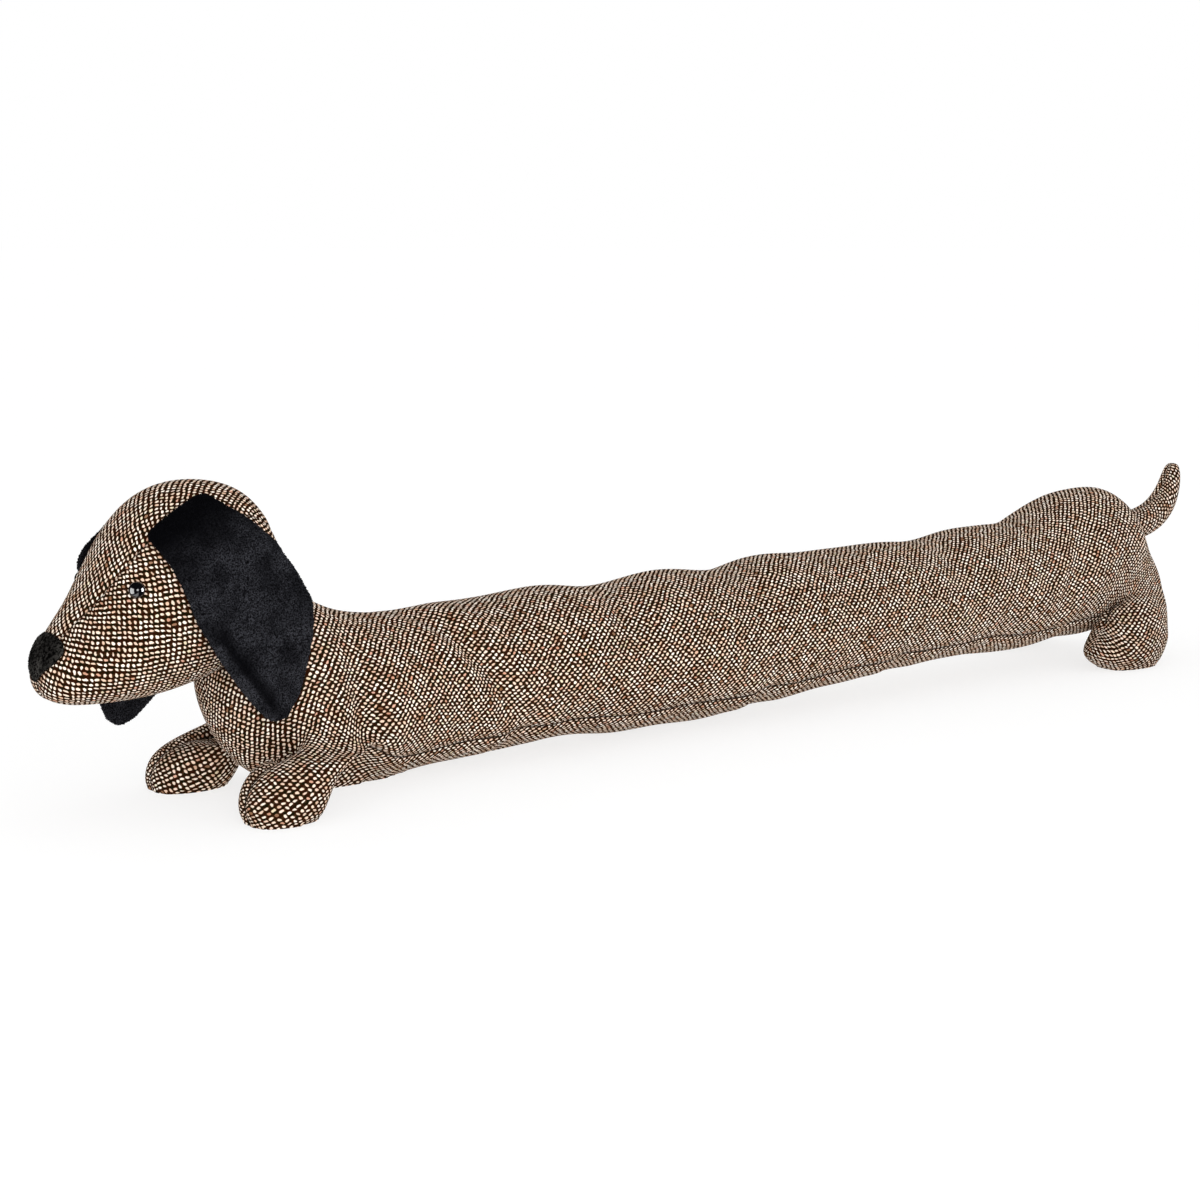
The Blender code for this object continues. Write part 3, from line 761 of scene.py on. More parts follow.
def seam_points(piece):
    """Points along a piece's seams, a quarter of an edge apart."""
    mesh = piece.data
    points = []
    for edge in mesh.edges:
        first, second = (mesh.vertices[index].co for index in edge.vertices)
        on_chest = second.x < CHEST_FROM and abs(second.y) < CHEST_LINE
        on_shin = SHIN[0] < second.x < SHIN[1] and second.z < SHIN[2]
        if edge.use_seam and not (piece == trunk and (on_chest or on_shin)):
            points += [first.lerp(second, step / 4) for step in range(4)]
    return points


def distance_to(points):
    """A function that tells how far a place is from a cloud of points."""
    tree = KDTree(len(points))
    for index, point in enumerate(points):
        tree.insert(point, index)
    tree.balance()
    return lambda place: min(tree.find(place)[2], SEAM_REACH)


def sink_seams(piece, away):
    """Draw a piece in along its seams."""
    normals = [vert.normal.copy() for vert in piece.data.vertices]
    for vert, normal in zip(piece.data.vertices, normals):
        share = math.exp(-(away(vert.co) / SEAM_SPREAD) ** 2)
        vert.co -= normal * SEAM_SINK[piece.name] * share


def note_distance(piece, away):
    """Keep the distance to the seam on every point."""
    values = [away(vert.co) for vert in piece.data.vertices]
    piece.data.attributes.new("seam", "FLOAT", "POINT").data.foreach_set("value", values)


seam_of = {}
for piece in (trunk, head, tail):
    sink_seams(piece, distance_to(seam_points(piece)))
    seam_of[piece.name] = distance_to(seam_points(piece))
press_on_floor(trunk)

# %% [markdown]
# ## Where the head and tail are sewn on
# The solids keep sewn pieces a hair apart: the trunk is cut back round the head, and the
# tail's root is cut back against the rump. The same cut is made here on the fine meshes.

# %% Seats
SEAT_GAP = 0.0004


def seat(piece, neighbour):
    """Cut a piece back to where it is sewn against its neighbour."""
    mesh = neighbour.data.copy()
    for vert, source in zip(mesh.vertices, neighbour.data.vertices):
        vert.co = source.co + source.normal * SEAT_GAP
    cutter = add_object("cutter", mesh)
    cut = piece.modifiers.new("seat", "BOOLEAN")
    cut.operation = "DIFFERENCE"
    cut.object = cutter
    settled(piece)
    bpy.data.objects.remove(cutter, do_unlink=True)


seat(trunk, head)
seat(tail, trunk)
for piece in (trunk, head, tail):
    note_distance(piece, seam_of[piece.name])
tell(trunk, head, tail)

# %% [markdown]
# ## The ears
# Each ear is one leaf of short-pile plush. It is sewn to the dome along its upper front
# edge, follows the head first and then falls free over the shoulder. The leaf is a grid of
# points between two edge lines, laid on the finished body by rays from the side, pushed
# clear of it, thickened and rounded at the rim.

# %% Ear outlines
Ear = namedtuple("Ear", "name side front back")
EARS = [Ear(name, side, *([metres(point) for point in edge] for edge in edges))
        for name, side, *edges in (
    ("ear_left", LEFT,
     ((-366, 168.8), (-371.5, 168), (-379, 164.8), (-386.5, 160.8), (-401.4, 151.8),
      (-397.2, 145), (-392.8, 135.9), (-388.8, 124.1), (-383.8, 108.7), (-377.4, 97.5),
      (-370.9, 86.3), (-360.4, 70.7), (-348.5, 55.9), (-344, 52), (-342, 51.3)),
     ((-364.5, 168.8), (-360, 165.5), (-352.5, 159.2), (-343.7, 152.3), (-334, 143),
      (-324.9, 130.8), (-316.3, 113.3), (-316.1, 101.2), (-318.3, 89.2), (-321.4, 77.5),
      (-326.2, 63.6), (-334, 52.5), (-338.5, 51.3))),
    ("ear_right", RIGHT,
     ((-366, 168.8), (-371.5, 167.6), (-378.5, 163.5), (-385.5, 158), (-392, 150.5),
      (-396.8, 144.7), (-402, 139.5), (-405.5, 133.8), (-406.6, 128.5), (-405, 122),
      (-402.2, 112), (-400.5, 97), (-399.8, 80), (-398, 62), (-395.2, 50.5), (-391.5, 41),
      (-386, 37.2)),
     ((-364.5, 168.8), (-360, 165.5), (-352.5, 159.2), (-344, 152), (-338, 142),
      (-335, 128), (-335.5, 112), (-340, 92), (-347.5, 72), (-360.5, 53.1), (-375, 40.2),
      (-382, 37.2))),
)]
EAR_CORNER = 4  # the front edge's point where the sewn stretch ends
EAR_EASE = 0.015  # how far from the sewn edge the ear comes clear
DRAPE_GAP = 0.0021  # between an ear and the body further down
BESIDE = 0.2  # rays to the body start this far out
EAR_FALL = {  # how far out an ear lies at least, and at what height
    LEFT: ((0.01, 0.17), (0.02, 0.156), (0.032, 0.145),
           (0.043, 0.1325), (0.0475, 0.115), (0.049, 0.03)),
    RIGHT: ((0.006, 0.17), (0.017, 0.156), (0.028, 0.149),
            (0.045, 0.14), (0.047, 0.13), (0.049, 0.03)),
}
EAR_THICKNESS = 0.0022  # the backing; the pile makes up the rest
EAR_ROWS = 60
EAR_COLUMNS = 22
EAR_SMOOTHING = 24


def ear_places(ear):
    """X and Z of the points of an ear's sheet, row by row from its top."""
    top, tip = ear.front[0][1], ear.front[-1][1]
    rows = []
    for row in range(EAR_ROWS + 1):
        fall = row / EAR_ROWS
        z = top + (tip - top) * (1 - math.cos(math.pi * fall)) / 2
        front, back = level(ear.front, z), level(ear.back, z)
        line = []
        for column in range(EAR_COLUMNS + 1):
            share = (1 - math.cos(math.pi * column / EAR_COLUMNS)) / 2
            line.append((front + (back - front) * share, z))
        rows.append(line)
    return rows


# %% Drape the ears
def gap_at(ear, x, z):
    """The gap under an ear, small along the sewn edge and wider away from it."""
    top, corner = Vector(ear.front[0]), Vector(ear.front[EAR_CORNER])
    along = (corner - top).normalized()
    away = abs(along.cross(Vector((x, z)) - top))
    return SEAT_GAP + (DRAPE_GAP - SEAT_GAP) * min(away / EAR_EASE, 1.0)


def laid_on(ear, x, z, trees):
    """Where an ear's sheet starts at (x, z): on the body, or out in the air."""
    start = Vector((x, ear.side * BESIDE, z))
    place = Vector((x, ear.side * level(EAR_FALL[ear.side], z), z))
    for tree in trees:
        reached, normal = tree.ray_cast(start, Vector((0.0, -ear.side, 0.0)))[:2]
        if reached and reached.y * ear.side > abs(place.y):
            place = reached + normal * gap_at(ear, x, z)
    return place


def pushed_clear(place, trees, gap):
    """Move a point out of the body until it clears it by the gap."""
    for tree in trees:
        nearest, normal = tree.find_nearest(place)[:2]
        short = gap - (place - nearest).dot(normal)
        if short > 0.0:
            place = place + normal * short
    return place


def drape(ear, trees):
    """Lay an ear's sheet over the body and let it hang below."""
    rows = [[laid_on(ear, x, z, trees) for x, z in line] for line in ear_places(ear)]
    for _ in range(EAR_SMOOTHING):
        smooth = []
        for row, line in enumerate(rows):
            above, below = rows[max(row - 1, 0)], rows[min(row + 1, len(rows) - 1)]
            new = []
            for column, place in enumerate(line):
                before, after = max(column - 1, 0), min(column + 1, len(line) - 1)
                mean = (above[column].y + below[column].y + line[before].y + line[after].y) / 4
                moved = Vector((place.x, mean, place.z))
                new.append(pushed_clear(moved, trees, gap_at(ear, place.x, place.z)))
            smooth.append(new)
        rows = smooth
    return rows


def make_ear(ear, trees):
    """An ear's backing: a sheet of even thickness with a soft rim."""
    bm = bmesh.new()
    grid = [[bm.verts.new(place) for place in line] for line in drape(ear, trees)]
    for line, below in zip(grid, grid[1:]):
        for column in range(EAR_COLUMNS):
            corners = (line[column], line[column + 1], below[column + 1], below[column])
            bm.faces.new(corners if ear.side == RIGHT else corners[::-1])
    mesh = bpy.data.meshes.new(ear.name)
    bm.to_mesh(mesh)
    bm.free()
    made = add_object(ear.name + "_plush", mesh)
    thick = made.modifiers.new("Solidify", "SOLIDIFY")
    thick.thickness = EAR_THICKNESS
    thick.offset = 1.0
    settled(made)
    rounded(made, 1)
    made.data.shade_smooth()
    return made


trees = [BVHTree.FromObject(piece, bpy.context.evaluated_depsgraph_get())
         for piece in (trunk, head)]
ears = [make_ear(ear, trees) for ear in EARS]
tell(*ears)

# %% [markdown]
# ## The nose and the eyes
# The nose is a padded patch of the same plush, a triangle with rounded corners, pulled
# tight over the end of the snout. The eyes are glossy beads that sit in the cloth. Smooth
# ones take the place of the solids' beads, which have few faces. They are half a
# millimetre larger in radius, as the photograph shows them.

# %% Nose
NOSE_CENTRE = (-0.449, 0.0905)
NOSE_TILT = 22  # degrees that the patch looks upwards
NOSE_HALF_HEIGHT = 0.0125
NOSE_HALF_WIDTH = 0.0225
NOSE_SHAPE = (0.65, 0.37)  # width at the middle, and how much wider above it
NOSE_CROWN, NOSE_EDGE = 0.0022, 0.001  # its thickness in the middle and at the rim
NOSE_AWAY = 0.1  # rays to the snout start this far in front
NOSE_RINGS = 12
NOSE_SIDES = 64


def make_nose(tree):
    """A padded patch over the end of the snout."""
    centre = Vector((NOSE_CENTRE[0], 0.0, NOSE_CENTRE[1]))
    tilt = math.radians(NOSE_TILT)
    inwards = Vector((math.cos(tilt), 0.0, -math.sin(tilt)))
    up = Vector((math.sin(tilt), 0.0, math.cos(tilt)))
    bm = bmesh.new()
    inner, outer = [], []
    for ring in range(NOSE_RINGS + 1):
        share = ring / NOSE_RINGS
        crown = NOSE_EDGE + (NOSE_CROWN - NOSE_EDGE) * math.sqrt(1 - share ** 2)
        count = NOSE_SIDES if ring else 1
        under, over = [], []
        for side in range(count):
            turn = math.tau * side / count
            width = NOSE_HALF_WIDTH * (NOSE_SHAPE[0] + NOSE_SHAPE[1] * math.cos(turn))
            across = Vector((0.0, share * width * math.sin(turn), 0.0))
            along = up * share * NOSE_HALF_HEIGHT * math.cos(turn)
            start = centre + across + along - inwards * NOSE_AWAY
            place, normal = tree.ray_cast(start, inwards)[:2]
            under.append(bm.verts.new(place + normal * SEAT_GAP))
            over.append(bm.verts.new(place + normal * (SEAT_GAP + crown)))
        inner.append(under)
        outer.append(over)
    for rings in (inner, outer):
        for side in range(NOSE_SIDES):
            bm.faces.new((rings[0][0], rings[1][side], rings[1][(side + 1) % NOSE_SIDES]))
        for first, second in zip(rings[1:], rings[2:]):
            skin_between(bm, first, second)
    skin_between(bm, inner[-1], outer[-1])
    return add_object("nose_plush", mesh_from(bm, "nose"))


head_tree = trees[1]
nose = make_nose(head_tree)
tell(nose)

# %% Eyes
Eye = namedtuple("Eye", "name side x z")
EYES = (
    Eye("eye_left", LEFT, -0.4098, 0.1257),
    Eye("eye_right", RIGHT, -0.4072, 0.1222),
)
EYE_RADIUS = 0.0045
EYE_CUT = 0.0004  # how far in front of its middle the bead's flat back lies


def make_eye(eye, tree):
    """A bead: a dome with a flat back that rests against the face."""
    start = Vector((eye.x, eye.side * BESIDE, eye.z))
    place, normal = tree.ray_cast(start, Vector((0.0, -eye.side, 0.0)))[:2]
    bm = bmesh.new()
    bmesh.ops.create_uvsphere(bm, u_segments=48, v_segments=32, radius=EYE_RADIUS)
    bmesh.ops.bisect_plane(
        bm, geom=bm.verts[:] + bm.edges[:] + bm.faces[:], clear_inner=True,
        plane_co=(0.0, 0.0, EYE_CUT), plane_no=(0.0, 0.0, 1.0))
    rim = [edge for edge in bm.edges if edge.is_boundary]
    bmesh.ops.contextual_create(bm, geom=rim)
    turn = normal.to_track_quat("Z", "Y").to_matrix().to_4x4()
    turn.translation = place + normal * (SEAT_GAP - EYE_CUT)
    bmesh.ops.transform(bm, matrix=turn, verts=bm.verts)
    return add_object(eye.name + "_bead", mesh_from(bm, eye.name))


eyes = [make_eye(eye, head_tree) for eye in EYES]
print("eyes:", [piece.name for piece in eyes])

# %% [markdown]
# ## Into the frame's place
# The tables are in the solids' own drawing frame. Packing has moved the whole dog so that
# the middle of its box's bottom is the origin. The head's box tells how far.

# %% Move everything into the frame
coarse = rounded(add_object("coarse_head", head_cage()), 1)
drawn_low = [min(vert.co[axis] for vert in coarse.data.vertices) for axis in range(3)]
bpy.data.objects.remove(coarse, do_unlink=True)
shift = Vector((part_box("head")[0][axis] - drawn_low[axis] for axis in range(3)))
for piece in (trunk, head, tail, nose, *ears, *eyes):
    piece.data.transform(Matrix.Translation(shift))
print("moved by", [round(1000 * value, 2) for value in shift], "mm")

# %% [markdown]
# ## Writing node trees as sums
# A weave is arithmetic on the cloth's coordinates. One small class wraps a node's output
# and turns Python's operators into Math nodes, and a recipe adds any other node, with its
# settings first and then the values or links of its sockets. The pile and the sky, which
# are node trees too, are written with the same recipe.

# %% Node helpers
def operator(operation):
    """A Python operator as a Math node, and the same one with its sides swapped."""
    return (lambda one, other: one.recipe.math(operation, one, other),
            lambda one, other: one.recipe.math(operation, other, one))


class Flow:
    """A number, vector or colour that flows through a node tree."""

    __add__, __radd__ = operator("ADD")
    __sub__, __rsub__ = operator("SUBTRACT")
    __mul__, __rmul__ = operator("MULTIPLY")
    __truediv__, __rtruediv__ = operator("DIVIDE")
    __pow__, __rpow__ = operator("POWER")

    def __init__(self, recipe, socket):
        self.recipe = recipe
        self.socket = socket


class Recipe:
    """A node tree that is written one node after another."""

    def __init__(self, tree):
        self.tree = tree

    def put(self, socket, value):
        """Link a flow to a socket, or set the socket's value."""
        if isinstance(value, Flow):
            self.tree.links.new(value.socket, socket)
        elif socket.type == "RGBA" and len(value) == 3:
            socket.default_value = (*value, 1.0)
        else:
            socket.default_value = value

    def node(self, kind, settings=(), output=0, **sockets):
        """Add a node: its settings first, then its sockets' values or links."""
        made = self.tree.nodes.new(kind)
        for key, value in dict(settings).items():
            setattr(made, key, value)
        for key, value in sockets.items():
            numbered = key.startswith("input_")
            self.put(made.inputs[int(key[6:]) if numbered else key.replace("_", " ")], value)
        return Flow(self, made.outputs[output])

    def math(self, operation, *values):
        """A Math node on numbers or flows."""
        sockets = {f"input_{place}": value for place, value in enumerate(values)}
        return self.node("ShaderNodeMath", {"operation": operation}, **sockets)

    def vector(self, operation, *values, **sockets):
        """A Vector Math node."""
        sockets.update({f"input_{place}": value for place, value in enumerate(values)})
        return self.node("ShaderNodeVectorMath", {"operation": operation}, **sockets)

    def parts(self, vector):
        """The three numbers of a vector."""
        made = self.node("ShaderNodeSeparateXYZ", input_0=vector).socket.node
        return [Flow(self, socket) for socket in made.outputs]

    def noise(self, place, scale, detail, roughness=0.5, output=0, dimensions="2D"):
        """Noise at a place."""
        return self.node("ShaderNodeTexNoise", {"noise_dimensions": dimensions}, output,
                         Vector=place, Scale=scale, Detail=detail, Roughness=roughness)

    def mix(self, share, first, second, blend="MIX"):
        """Mix two colours."""
        return self.node("ShaderNodeMix", {"data_type": "RGBA", "blend_type": blend},
                         output=2, input_0=share, input_6=first, input_7=second)

    def step(self, value, low, high):
        """0 below low, 1 above high, smooth between."""
        return self.node("ShaderNodeMapRange", {"interpolation_type": "SMOOTHSTEP"},
                         Value=value, From_Min=low, From_Max=high)

    def choose(self, chance, choices):
        """One of several colours, each of which starts at its own chance."""
        made = self.node("ShaderNodeValToRGB", Fac=chance)
        ramp = made.socket.node.color_ramp
        ramp.interpolation = "CONSTANT"
        while len(ramp.elements) < len(choices):
            ramp.elements.new(1.0)
        for element, (start, colour) in zip(ramp.elements, choices):
            element.position = start
            element.color = (*colour, 1.0)
        return made


def finish(piece, name, recipe_for, *given, **given_by_name):
    """Give a piece a material whose shader takes the values that a recipe names."""
    material = bpy.data.materials.new(name)
    material.use_nodes = True
    recipe = Recipe(material.node_tree)
    shader = material.node_tree.nodes["Principled BSDF"]
    for key, value in recipe_for(recipe, *given, **given_by_name).items():
        recipe.put(shader.inputs[key.replace("_", " ")], value)
    piece.data.materials.clear()
    piece.data.materials.append(material)


# %% [markdown]
# ## Tweed
# The cloth is a plain weave of chunky yarn: dark threads one way, and light flecked ones
# the other way, over and under in turn. So light floats lie as on a chessboard, in cream,
# pink, tan and a little rust, with near-black between them. The weave is worked out on
# the flat panels, so it follows the cloth.

# %% Tweed
THREAD = 0.00194  # from one thread to the next
WANDER = (0.0034, 0.0034, 0.0)  # how far the threads stray from their straight lines
FLOAT_LENGTH = 0.58  # half a float's length, in threads
FLOAT_WIDTH = 0.4  # half its width
FLOAT_TWIST = 0.42  # how the yarn's twist tilts a float
FLOAT_CORNER = 1.75  # 2 for an oval float, 1 for one with four corners
DARK_LENGTH = 0.7
DARK_WIDTH = 0.34
YARN_COLOURS = (
    (0.0, (1.0, 0.92, 0.81)), (0.38, (1.0, 0.87, 0.75)), (0.66, (0.95, 0.76, 0.64)),
    (0.87, (0.82, 0.61, 0.47)), (0.947, (0.73, 0.43, 0.32)), (0.973, (0.86, 0.82, 0.63)),
    (0.991, (0.32, 0.18, 0.11)),
)
TAN_TINT = (1.0, 0.9, 0.81)  # in patches of some centimetres
# Painted shade: a float turns this brown towards its rim, where it curves down under the crossing
# yarn.
FLOAT_RIM_SHADE = (0.47, 0.24, 0.12)
GAP_COLOURS = ((0.026, 0.0055, 0.0012), (0.0065, 0.0058, 0.0012))
DARK_YARN = (0.038, 0.015, 0.0045)
SEAM_COLOUR = (0.006, 0.004, 0.003)
# Painted shade: the cloth is darkened near the floor, in place of the shade under the belly and
# the paws.
PAINTED_SHADE_HEIGHTS = (0.04, 0.004)  # the cloth darkens between these heights
PAINTED_SHADE = 0.14  # by this share


def tweed(recipe, seed, line_depth):
    """The tweed: light floats over dark yarn, with gaps between them and seam lines, painted shade
    at each float's rim, and painted shade near the floor.
    """
    place = recipe.node("ShaderNodeUVMap", {"uv_map": CLOTH_MAP})
    wander = recipe.noise(place, 60.0, 4.0, 0.72, output=1)
    moved = recipe.vector("MULTIPLY_ADD", wander, WANDER, place)
    along, across, _ = recipe.parts(recipe.vector("SCALE", moved, Scale=1.0 / THREAD))

    row = recipe.math("FLOOR", across)
    run = (along + row) / 2.0
    number = recipe.node("ShaderNodeCombineXYZ", X=recipe.math("FLOOR", run), Y=row,
                         Z=float(seed))
    chance = recipe.node("ShaderNodeTexWhiteNoise", {"noise_dimensions": "3D"}, Vector=number)
    _, second_chance, third_chance = recipe.parts(
        Flow(recipe, chance.socket.node.outputs["Color"]))

    light_along = (recipe.math("FRACT", run) - 0.5) * 2.0 + (second_chance - 0.5) * 0.24
    light_across = recipe.math("FRACT", across) - 0.5 + (third_chance - 0.5) * 0.12
    climb = (across + recipe.math("FLOOR", along) + 1.0) / 2.0
    dark_along = (recipe.math("FRACT", climb) - 0.5) * 2.0
    dark_across = recipe.math("FRACT", along) - 0.5

    fatness = 0.8 + 0.36 * third_chance
    tilted = light_across - FLOAT_TWIST * (2.0 * second_chance - 0.7) * light_along
    light = 1.0 - (recipe.math("ABSOLUTE", light_along / FLOAT_LENGTH) ** FLOAT_CORNER
                   + recipe.math("ABSOLUTE", tilted / (fatness * FLOAT_WIDTH)) ** FLOAT_CORNER)
    dark = 1.0 - (dark_along * dark_along / DARK_LENGTH ** 2
                  + dark_across * dark_across / DARK_WIDTH ** 2)
    light_mask = recipe.step(light, -0.05, 0.22)

    fibres = recipe.noise(place, 2100.0, 2.0)
    patches = recipe.noise(place, 110.0, 3.0)
    shade = (0.8 + 0.2 * third_chance + 0.24 * recipe.step(patches, 0.3, 0.7)
             + 0.4 * (fibres - 0.5))
    tinted = recipe.mix(recipe.step(patches, 0.6, 0.38), recipe.choose(chance, YARN_COLOURS),
                        TAN_TINT, "MULTIPLY")
    # Painted shade: darker towards the floor.
    upright = recipe.parts(recipe.node("ShaderNodeTexCoord", output=3))[2]
    painted_shade = 1.0 - PAINTED_SHADE * recipe.step(upright, *PAINTED_SHADE_HEIGHTS)
    # Painted shade: each float darkens to its rim colour away from its middle.
    shaded = recipe.mix(recipe.step(light, 0.0, 0.45), FLOAT_RIM_SHADE,
                        recipe.vector("SCALE", tinted, Scale=shade * painted_shade))
    flecks = recipe.noise(place, 420.0, 2.0)
    valley = recipe.mix(recipe.step(flecks, 0.4, 0.62), *GAP_COLOURS)
    gap = recipe.mix(recipe.step(dark, 0.0, 0.5), valley, DARK_YARN)
    cloth = recipe.mix(light_mask, gap, shaded)

    seam = recipe.node("ShaderNodeAttribute", {"attribute_name": "seam"}, output=2)
    line = line_depth * (1.0 - recipe.step(seam, 0.0002, 0.0012))
    height = (recipe.math("MAXIMUM", light, 0.0) ** 0.5
              + 0.5 * recipe.math("MAXIMUM", dark, 0.0) ** 0.5 * (1.0 - light_mask)
              + 0.25 * fibres)
    bump = recipe.node("ShaderNodeBump", Strength=0.6, Distance=0.0005,
                       Height=height - line * 1.2)
    return {"Base_Color": recipe.mix(line, cloth, SEAM_COLOUR), "Roughness": 0.95,
            "Normal": bump, "Specular_IOR_Level": 0.01, "Sheen_Weight": 0.012,
            "Sheen_Roughness": 0.5, "Sheen_Tint": (1.0, 0.6, 0.4)}


for number, (piece, line_depth) in enumerate(((trunk, 0.95), (head, 0.5), (tail, 0.5))):
    finish(piece, piece.name + "_tweed", tweed, number + 1, line_depth)
print("tweed on", trunk.name, head.name, tail.name)

# %% [markdown]
# ## Plush
# The ears and the nose are black short-pile plush. Its pile drinks the light. Over it lie
# faint blue-grey clouds of painted sheen, the light that a pile catches where it lies over
# one way or another. Along an ear's sewn edge the painted sheen is left out, so the nap
# looks dark. Further down, a soft fold is painted on the flat sheet: a dark valley of
# painted shade beside a lighter rim of painted highlight.

# %% Plush
# Painted sheen: the light clouds stand for the sheen of the pile, and they fade out above the nap
# line.
NAP_SLOPE = 0.49  # the line where the dark nap ends climbs backwards
NAP_X = -0.374  # and has at this x
NAP_HEIGHT = (0.163, 0.131)  # these heights, dark and light
SHEEN_IN_DARK_NAP = 0.02  # the light clouds' share in the dark nap
SHEEN_BETWEEN_CLOUDS = 0.36  # and between the clouds
# A painted fold: a dark valley of painted shade beside a rim of painted highlight.
FOLD_START = (-0.372, 0.103)  # x and z where the fold begins
FOLD_WAY = (0.5779, -0.8161)  # and the way it runs down to the tip
FOLD_PAINTED_SHADE, FOLD_PAINTED_HIGHLIGHT = 0.86, 0.55  # how much darker and lighter it gets


def plush(recipe, dark, light, coarse):
    """The plush: specks of light pile on dark, in clouds of painted sheen, with a dark nap where
    the sheen is left out and a fold of painted shade and highlight.
    """
    place = recipe.node("ShaderNodeTexCoord", output=3)
    clouds = recipe.noise(place, 70.0, 4.0, 0.6, dimensions="3D")
    grain = recipe.noise(place, coarse, 3.0, 0.7, dimensions="3D")
    forward, _, high = recipe.parts(place)
    # Painted sheen: the nap line leaves it out above.
    nap_sheen = recipe.step(high - NAP_SLOPE * (forward - NAP_X), *NAP_HEIGHT)
    fold_x, fold_z = forward - FOLD_START[0], high - FOLD_START[1]
    beside = fold_z * FOLD_WAY[0] - fold_x * FOLD_WAY[1]
    down = fold_x * FOLD_WAY[0] + fold_z * FOLD_WAY[1]
    # The painted fold: painted shade in its valley, painted highlight on its rim.
    in_fold = recipe.step(down, -0.004, 0.006) * recipe.step(down, 0.072, 0.05)
    valley = in_fold * recipe.step(beside, -0.0045, -0.0005) * recipe.step(beside, 0.008, 0.0)
    rim = in_fold * recipe.step(beside, -0.002, -0.006)
    # The clouds of painted sheen.
    cloud_sheen = SHEEN_BETWEEN_CLOUDS + (1.0 - SHEEN_BETWEEN_CLOUDS) * recipe.step(clouds, 0.34, 0.66)
    share = (cloud_sheen * (SHEEN_IN_DARK_NAP + (1.0 - SHEEN_IN_DARK_NAP) * nap_sheen)
             * (1.0 - FOLD_PAINTED_SHADE * valley) * (1.0 + FOLD_PAINTED_HIGHLIGHT * rim))
    bump = recipe.node("ShaderNodeBump", Strength=0.6, Distance=0.0006, Height=grain)
    return {"Base_Color": recipe.mix(share * recipe.step(grain, 0.42, 0.6), dark, light),
            "Roughness": 0.95, "Normal": bump, "Specular_IOR_Level": 0.02,
            "Sheen_Weight": 0.01, "Sheen_Roughness": 0.35, "Sheen_Tint": (0.6, 0.62, 0.7)}


# dark is the plush's own black; light is the colour that the painted sheen brings up on the pile's
# specks
for piece in ears:
    finish(piece, piece.name + "_finish", plush, dark=(0.0016, 0.0016, 0.0024),
           light=(0.05, 0.051, 0.06), coarse=1250.0)
finish(nose, "nose_plush_finish", plush, dark=(0.0008, 0.0007, 0.0006),
       light=(0.06, 0.057, 0.052), coarse=560.0)
print("plush on", [piece.name for piece in (*ears, nose)])

# %% [markdown]
# ## Pile
# Thousands of tiny tufts stand up from the backing. Geometry Nodes scatter them over the
# sheet and lean each one down with the nap. The tree takes its sizes as named inputs, and
# its result is baked into a plain mesh.

# %% Pile tree
RAGGED = 0.35  # how far a tuft strays from the nap's direction
TUFT_SIZES = (0.6, 1.2)


def pile_tree(material):
    """Scatter small leaning tufts over a surface."""
    tree = bpy.data.node_groups.new("pile", "GeometryNodeTree")
    new_socket = tree.interface.new_socket
    new_socket("Geometry", in_out="INPUT", socket_type="NodeSocketGeometry")
    for name, value in (("Per square metre", 2.0e6), ("Tuft length", 0.0012),
                        ("Tuft width", 0.0005), ("Lean", 0.6)):
        new_socket(name, in_out="INPUT", socket_type="NodeSocketFloat").default_value = value
    new_socket("Seed", in_out="INPUT", socket_type="NodeSocketInt").default_value = 7
    new_socket("Geometry", in_out="OUTPUT", socket_type="NodeSocketGeometry")

    recipe = Recipe(tree)
    given = {socket.name: Flow(recipe, socket)
             for socket in tree.nodes.new("NodeGroupInput").outputs}
    seed = given["Seed"]
    points = recipe.node("GeometryNodeDistributePointsOnFaces", Mesh=given["Geometry"],
                         Density=given["Per square metre"], Seed=seed)
    tuft = recipe.node("GeometryNodeMeshCone", {"fill_type": "NONE"}, Vertices=3,
                       Radius_Bottom=given["Tuft width"], Depth=given["Tuft length"])
    ragged = recipe.node("FunctionNodeRandomValue", {"data_type": "FLOAT_VECTOR"},
                         input_0=(-RAGGED,) * 3, input_1=(RAGGED,) * 3, Seed=seed)
    down = recipe.node("ShaderNodeCombineXYZ", Z=given["Lean"] * -1.0)
    normal = Flow(recipe, points.socket.node.outputs["Normal"])
    heading = recipe.vector("ADD", recipe.vector("ADD", normal, down), ragged)
    align = recipe.node("FunctionNodeAlignRotationToVector", {"axis": "Z"}, Vector=heading)
    sizes = recipe.node("FunctionNodeRandomValue", output=1, input_2=TUFT_SIZES[0],
                        input_3=TUFT_SIZES[1], Seed=seed)
    tufts = recipe.node("GeometryNodeInstanceOnPoints", Points=points, Instance=tuft,
                        Rotation=align, Scale=sizes)
    solid = recipe.node("GeometryNodeRealizeInstances", input_0=tufts)
    pile = recipe.node("GeometryNodeSetMaterial", Geometry=solid, Material=material)
    tree.links.new(pile.socket, tree.nodes.new("NodeGroupOutput").inputs["Geometry"])
    return tree


def grow_pile(carrier, name, **sizes):
    """Bake the pile of one plush piece into its own mesh."""
    made = add_object(name, carrier.data.copy())
    grow = made.modifiers.new("pile", "NODES")
    grow.node_group = pile_tree(carrier.data.materials[0])
    for item in grow.node_group.interface.items_tree:
        if item.in_out == "INPUT" and item.name.replace(" ", "_") in sizes:
            grow[item.identifier] = sizes[item.name.replace(" ", "_")]
    settled(made)
    return made


piles = []
for piece in (*ears, nose):
    length = 0.0005 if piece == nose else 0.0006
    piles.append(grow_pile(piece, piece.name.replace("plush", "pile"), Tuft_length=length))
tell(*piles)

# %% [markdown]
# ## Beads
# The eyes are black glass-like beads. They are nearly black and very smooth, and the
# lights that only show in gloss make small bright patches in them.

